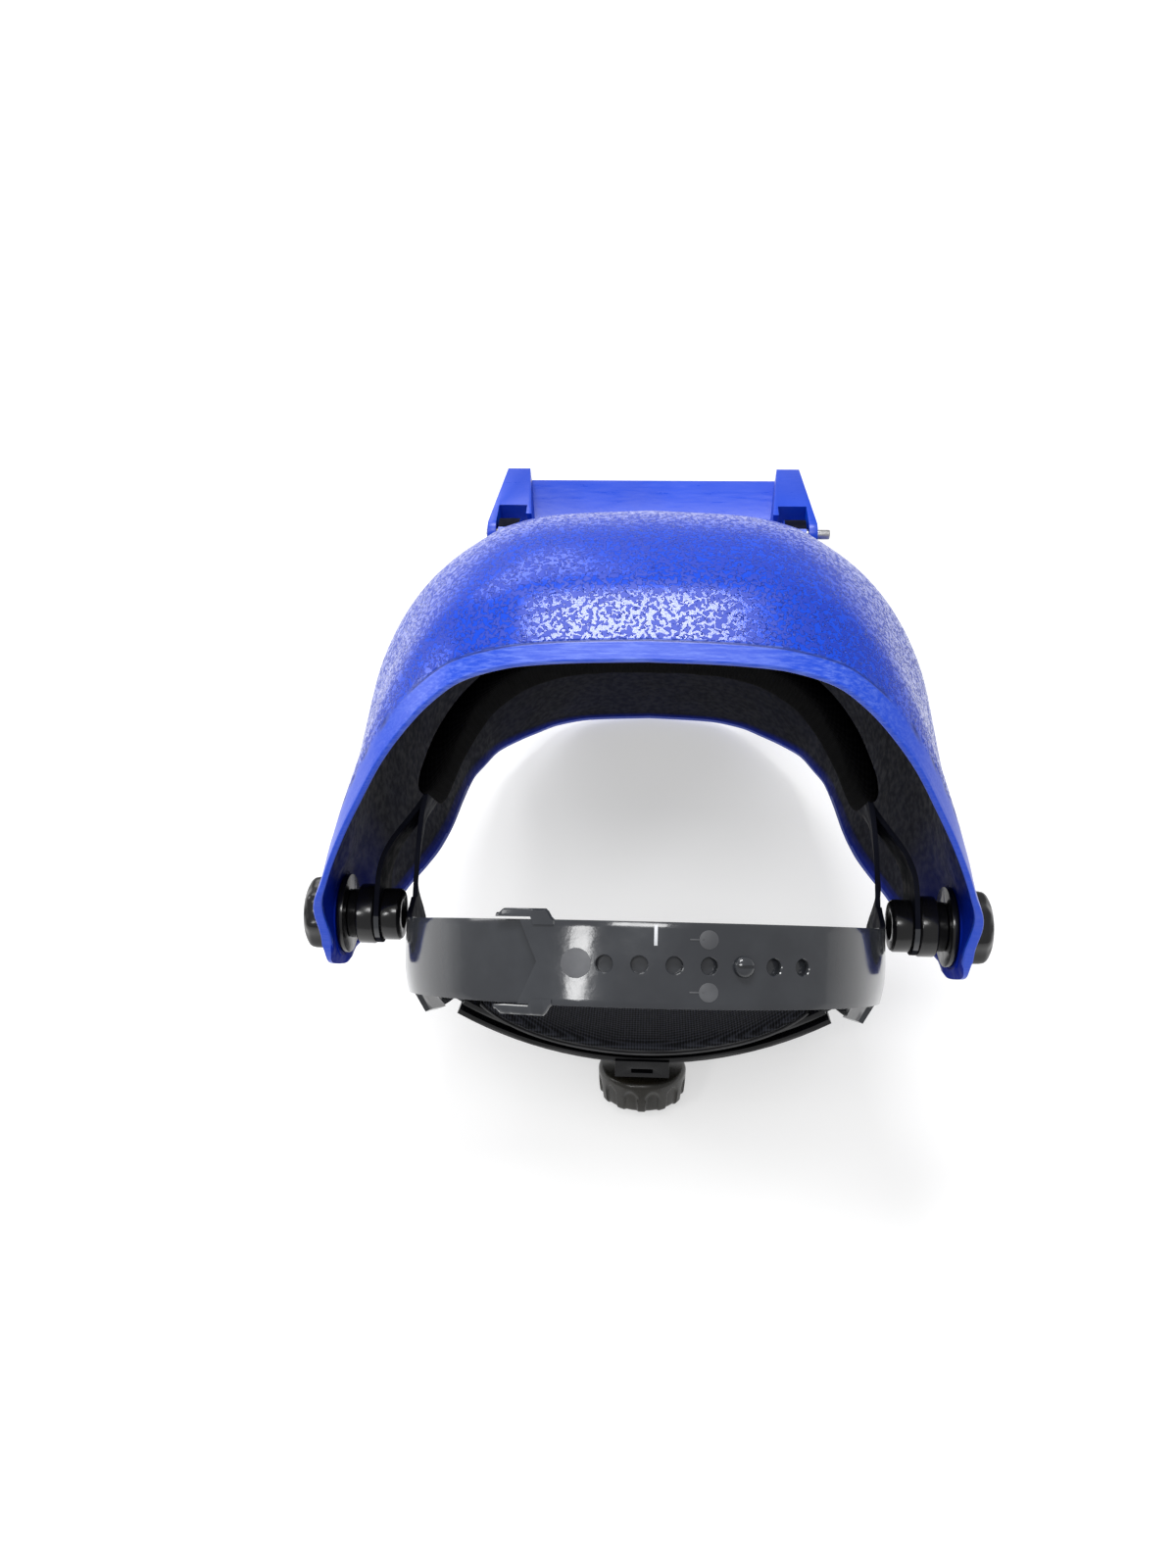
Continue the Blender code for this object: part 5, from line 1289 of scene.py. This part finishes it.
# The knobs, and the CAD's own pieces
def build_side_knobs(look):
    """The knobs on the pivot bolts, each with a flange, eight scooped flats and a domed end."""
    centre_f, centre_u = pivot_centre()
    start, r, length = EAR_FACE + RUNNING_GAP, TENSION_KNOB_DIAMETER / 2, TENSION_KNOB_LENGTH
    bolt_room = start + 0.55 * length + RUNNING_GAP
    hole = BOLT_DIAMETER / 2 + FIT_GAP
    profile = [(bolt_room, 0.0), (bolt_room, hole), (start, hole), (start, 0.93 * r),
               (start + 0.04 * length, 0.97 * r), (start + 0.10 * length, 0.995 * r)]
    profile += [(start + length * s, r * (0.995 - 0.01 * s)) for s in (0.16, 0.26, 0.36, 0.46, 0.54)]
    profile += [(start + length * (0.60 + 0.40 * math.sin(a)), r * (0.42 + 0.56 * math.cos(a)))
                for a in np.linspace(0, math.pi / 2, 12)]
    dimple = start + 0.93 * length
    profile += [(start + 0.97 * length, 0.30 * r), (dimple, 0.28 * r), (dimple, 0.0)]

    def grip(along, angle):
        share = (along - start) / length
        depth = float(smoothstep((share - 0.14) / 0.12)) * (1 - float(smoothstep((share - 0.80) / 0.15)))
        wave = 0.5 + 0.5 * math.cos(8 * angle)
        return 1 - 0.085 * depth * wave ** 0.8

    for side, name in ((1, "left"), (-1, "right")):
        def place(a, p, q, side=side):
            return side * a, p - centre_f, q + centre_u

        bm = turned(bmesh.new(), profile, 128, place, grip)
        knob = add_object(f"side_knob_{name}", bm, HEAD, look, body=f"tension_knob_{name}", smooth_angle=40)
        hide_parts(f"tension_knob_{name}")


def build_dial(look):
    """The ratchet knob: a collar and a drum whose rounded scoops begin in an arch and run out at its end."""
    start, end = FIT_GAP + HOUSING_DEPTH + GEARBOX_DEPTH + RUNNING_GAP, RATCHET_KNOB_PROTRUSION
    collar, r = RATCHET_COLLAR_DIAMETER / 2, RATCHET_KNOB_DIAMETER / 2 + DIAL_MARGIN
    lip = start + 0.12 * (end - start)
    profile = [(start, 0.0), (start, collar), (lip, collar), (lip, 0.90 * r), (lip + 0.0004, 0.94 * r),
               (lip + 0.0012, 0.97 * r)]
    profile += [(lip + 0.0012 + (end - lip - 0.0035) * s, r * (0.985 - 0.035 * s * s))
                for s in np.linspace(0.08, 1, 16)]
    last = profile[-1][1]
    profile += [(end - 0.0023 + 0.0023 * math.sin(a), last - 0.0030 * (1 - math.cos(a)))
                for a in np.linspace(0.2, math.pi / 2, 7)]
    profile += [(end, 0.62 * r), (end - 0.0006, 0.58 * r), (end - 0.0006, 0.0)]

    def grip(along, angle):
        share = (along - lip) / (end - lip)
        wave = abs(((angle * KNOB_GRIPS / (2 * math.pi)) % 1.0) - 0.5) * 2
        arch = 0.26 + 0.16 * (wave / 0.62) ** 2.2
        inside = float(smoothstep((0.66 - wave) / 0.10)) * float(smoothstep((share - arch) / 0.10))
        return 1 - 0.055 * inside

    bm = turned(bmesh.new(), profile, 240, lambda a, p, q: (p, a, q), grip)
    dial = add_object("ratchet_dial", bm, NAPE, look, body="headgear", smooth_angle=40)
    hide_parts("ratchet_knob")


def soften_node(name, look, width, segments):
    """A CAD node kept as it is, with its sharp edges rounded a little and a better material."""
    node = nodes[name]
    weld = node.modifiers.new("weld", "WELD")
    weld.merge_threshold = 1e-5
    flat = node.modifiers.new("flat", "DECIMATE")
    flat.decimate_type = "DISSOLVE"
    flat.angle_limit = math.radians(0.4)
    soft = node.modifiers.new("edges", "BEVEL")
    soft.width = width
    soft.segments = segments
    soft.limit_method = "ANGLE"
    soft.angle_limit = math.radians(SHARP_ANGLE)
    soft.harden_normals = False
    node.data.materials.clear()
    node.data.materials.append(look)
    for p in node.data.polygons:
        p.use_smooth = True
    by_angle = node.modifiers.new("smooth", "NODES")
    by_angle.node_group = smooth_group()


def smooth_group():
    """Node group that marks edges over the sharp angle as sharp."""
    group = bpy.data.node_groups.get("smooth_by_angle")
    if group:
        return group
    group = bpy.data.node_groups.new("smooth_by_angle", "GeometryNodeTree")
    group.interface.new_socket("Geometry", in_out="INPUT", socket_type="NodeSocketGeometry")
    group.interface.new_socket("Geometry", in_out="OUTPUT", socket_type="NodeSocketGeometry")
    enter, leave = group.nodes.new("NodeGroupInput"), group.nodes.new("NodeGroupOutput")
    angle = group.nodes.new("GeometryNodeInputMeshEdgeAngle")
    limit = group.nodes.new("FunctionNodeCompare")
    limit.data_type, limit.operation = "FLOAT", "GREATER_THAN"
    limit.inputs[1].default_value = math.radians(SHARP_ANGLE)
    faces = group.nodes.new("GeometryNodeSetShadeSmooth")
    edges = group.nodes.new("GeometryNodeSetShadeSmooth")
    faces.domain, edges.domain = "FACE", "EDGE"
    faces.inputs["Shade Smooth"].default_value = True
    turn = group.nodes.new("FunctionNodeBooleanMath")
    turn.operation = "NOT"
    link = group.links.new
    link(enter.outputs[0], faces.inputs["Geometry"])
    link(faces.outputs["Geometry"], edges.inputs["Geometry"])
    link(angle.outputs["Unsigned Angle"], limit.inputs[0])
    link(limit.outputs[0], turn.inputs[0])
    link(turn.outputs[0], edges.inputs["Shade Smooth"])
    link(edges.outputs["Geometry"], leave.inputs[0])
    return group


make_camera()
make_studio()

grained, smooth, inside = grained_blue(), smooth_blue(), shaded_inside_blue()
strap = plastic("strap_grey", (0.026, 0.028, 0.033), (0.036, 0.039, 0.045), 0.13, 0.00004, 0.3, 0.2)
# painted shade: a near-black, duller copy of the strap plastic for the strap's front and the pivot arms
strap_in_shade = plastic("strap_painted_shade", (0.004, 0.0045, 0.009), (0.008, 0.009, 0.015), 0.6, 0.00005, 0.05, 0, 0.03)
matt = plastic("strap_matt", (0.05, 0.052, 0.058), (0.10, 0.103, 0.112), 0.5, 0.0001)
pale = plastic("strap_pale", (0.42, 0.43, 0.45), (0.60, 0.61, 0.64), 0.4, 0.0001)
black = plastic("black_plastic", (0.003, 0.003, 0.0035), (0.006, 0.006, 0.007), 0.18, 0.00004, 0.15)
housing = plastic("housing_black", (0.003, 0.003, 0.004), (0.006, 0.006, 0.008), 0.2, 0.00003, 0.1)
worn = plastic("knob_black", (0.006, 0.0055, 0.004), (0.014, 0.012, 0.008), 0.26, 0.00006, 0.3)
cloth = woven("pad_weave", (0.0015, 0.0018, 0.0030), (0.050, 0.054, 0.070), 0.0012)
foam = woven("brow_weave", (0.0004, 0.0004, 0.0005), (0.0022, 0.0022, 0.0026), 0.0014, 0.95, 0.03)
thread = plastic("thread", (0.006, 0.006, 0.006), (0.012, 0.012, 0.012), 0.7, 0.0001)
binding = plastic("welded_edge", (0.004, 0.004, 0.005), (0.03, 0.03, 0.034), 0.35, 0.0001)
steel = brushed_steel()
clear = glass("clear_plate", (0.80, 0.84, 0.84), (0.72, 0.77, 0.76), 0.03, 0.95)
dark = glass("dark_plate", (0.003, 0.010, 0.005), (0.005, 0.016, 0.008), 0.04, 0.0)

build_shell(grained, smooth, inside)
build_headband(strap, strap_in_shade)
build_strap_details(strap, matt, pale)
build_sweatband(foam, thread)
build_nape_pad(cloth, binding)
build_side_knobs(black)
build_dial(worn)

# the CAD's own pieces: material, rounding of the edges and its segments
soften_node("lens_door", smooth, 0.0011, 3)
soften_node("clear_plate", clear, 0.0002, 1)
soften_node("filter_plate", dark, 0.0003, 1)
soften_node("ratchet_housing", housing, 0.0004, 2)
for side in ("left", "right"):
    soften_node(f"hinge_pin_{side}", steel, 0.0002, 2)
    soften_node(f"pivot_block_{side}", black, 0.0003, 2)
    soften_node(f"pivot_bolt_{side}", black, 0.0003, 2)
    soften_node(f"pivot_washer_{side}", black, 0.0002, 2)
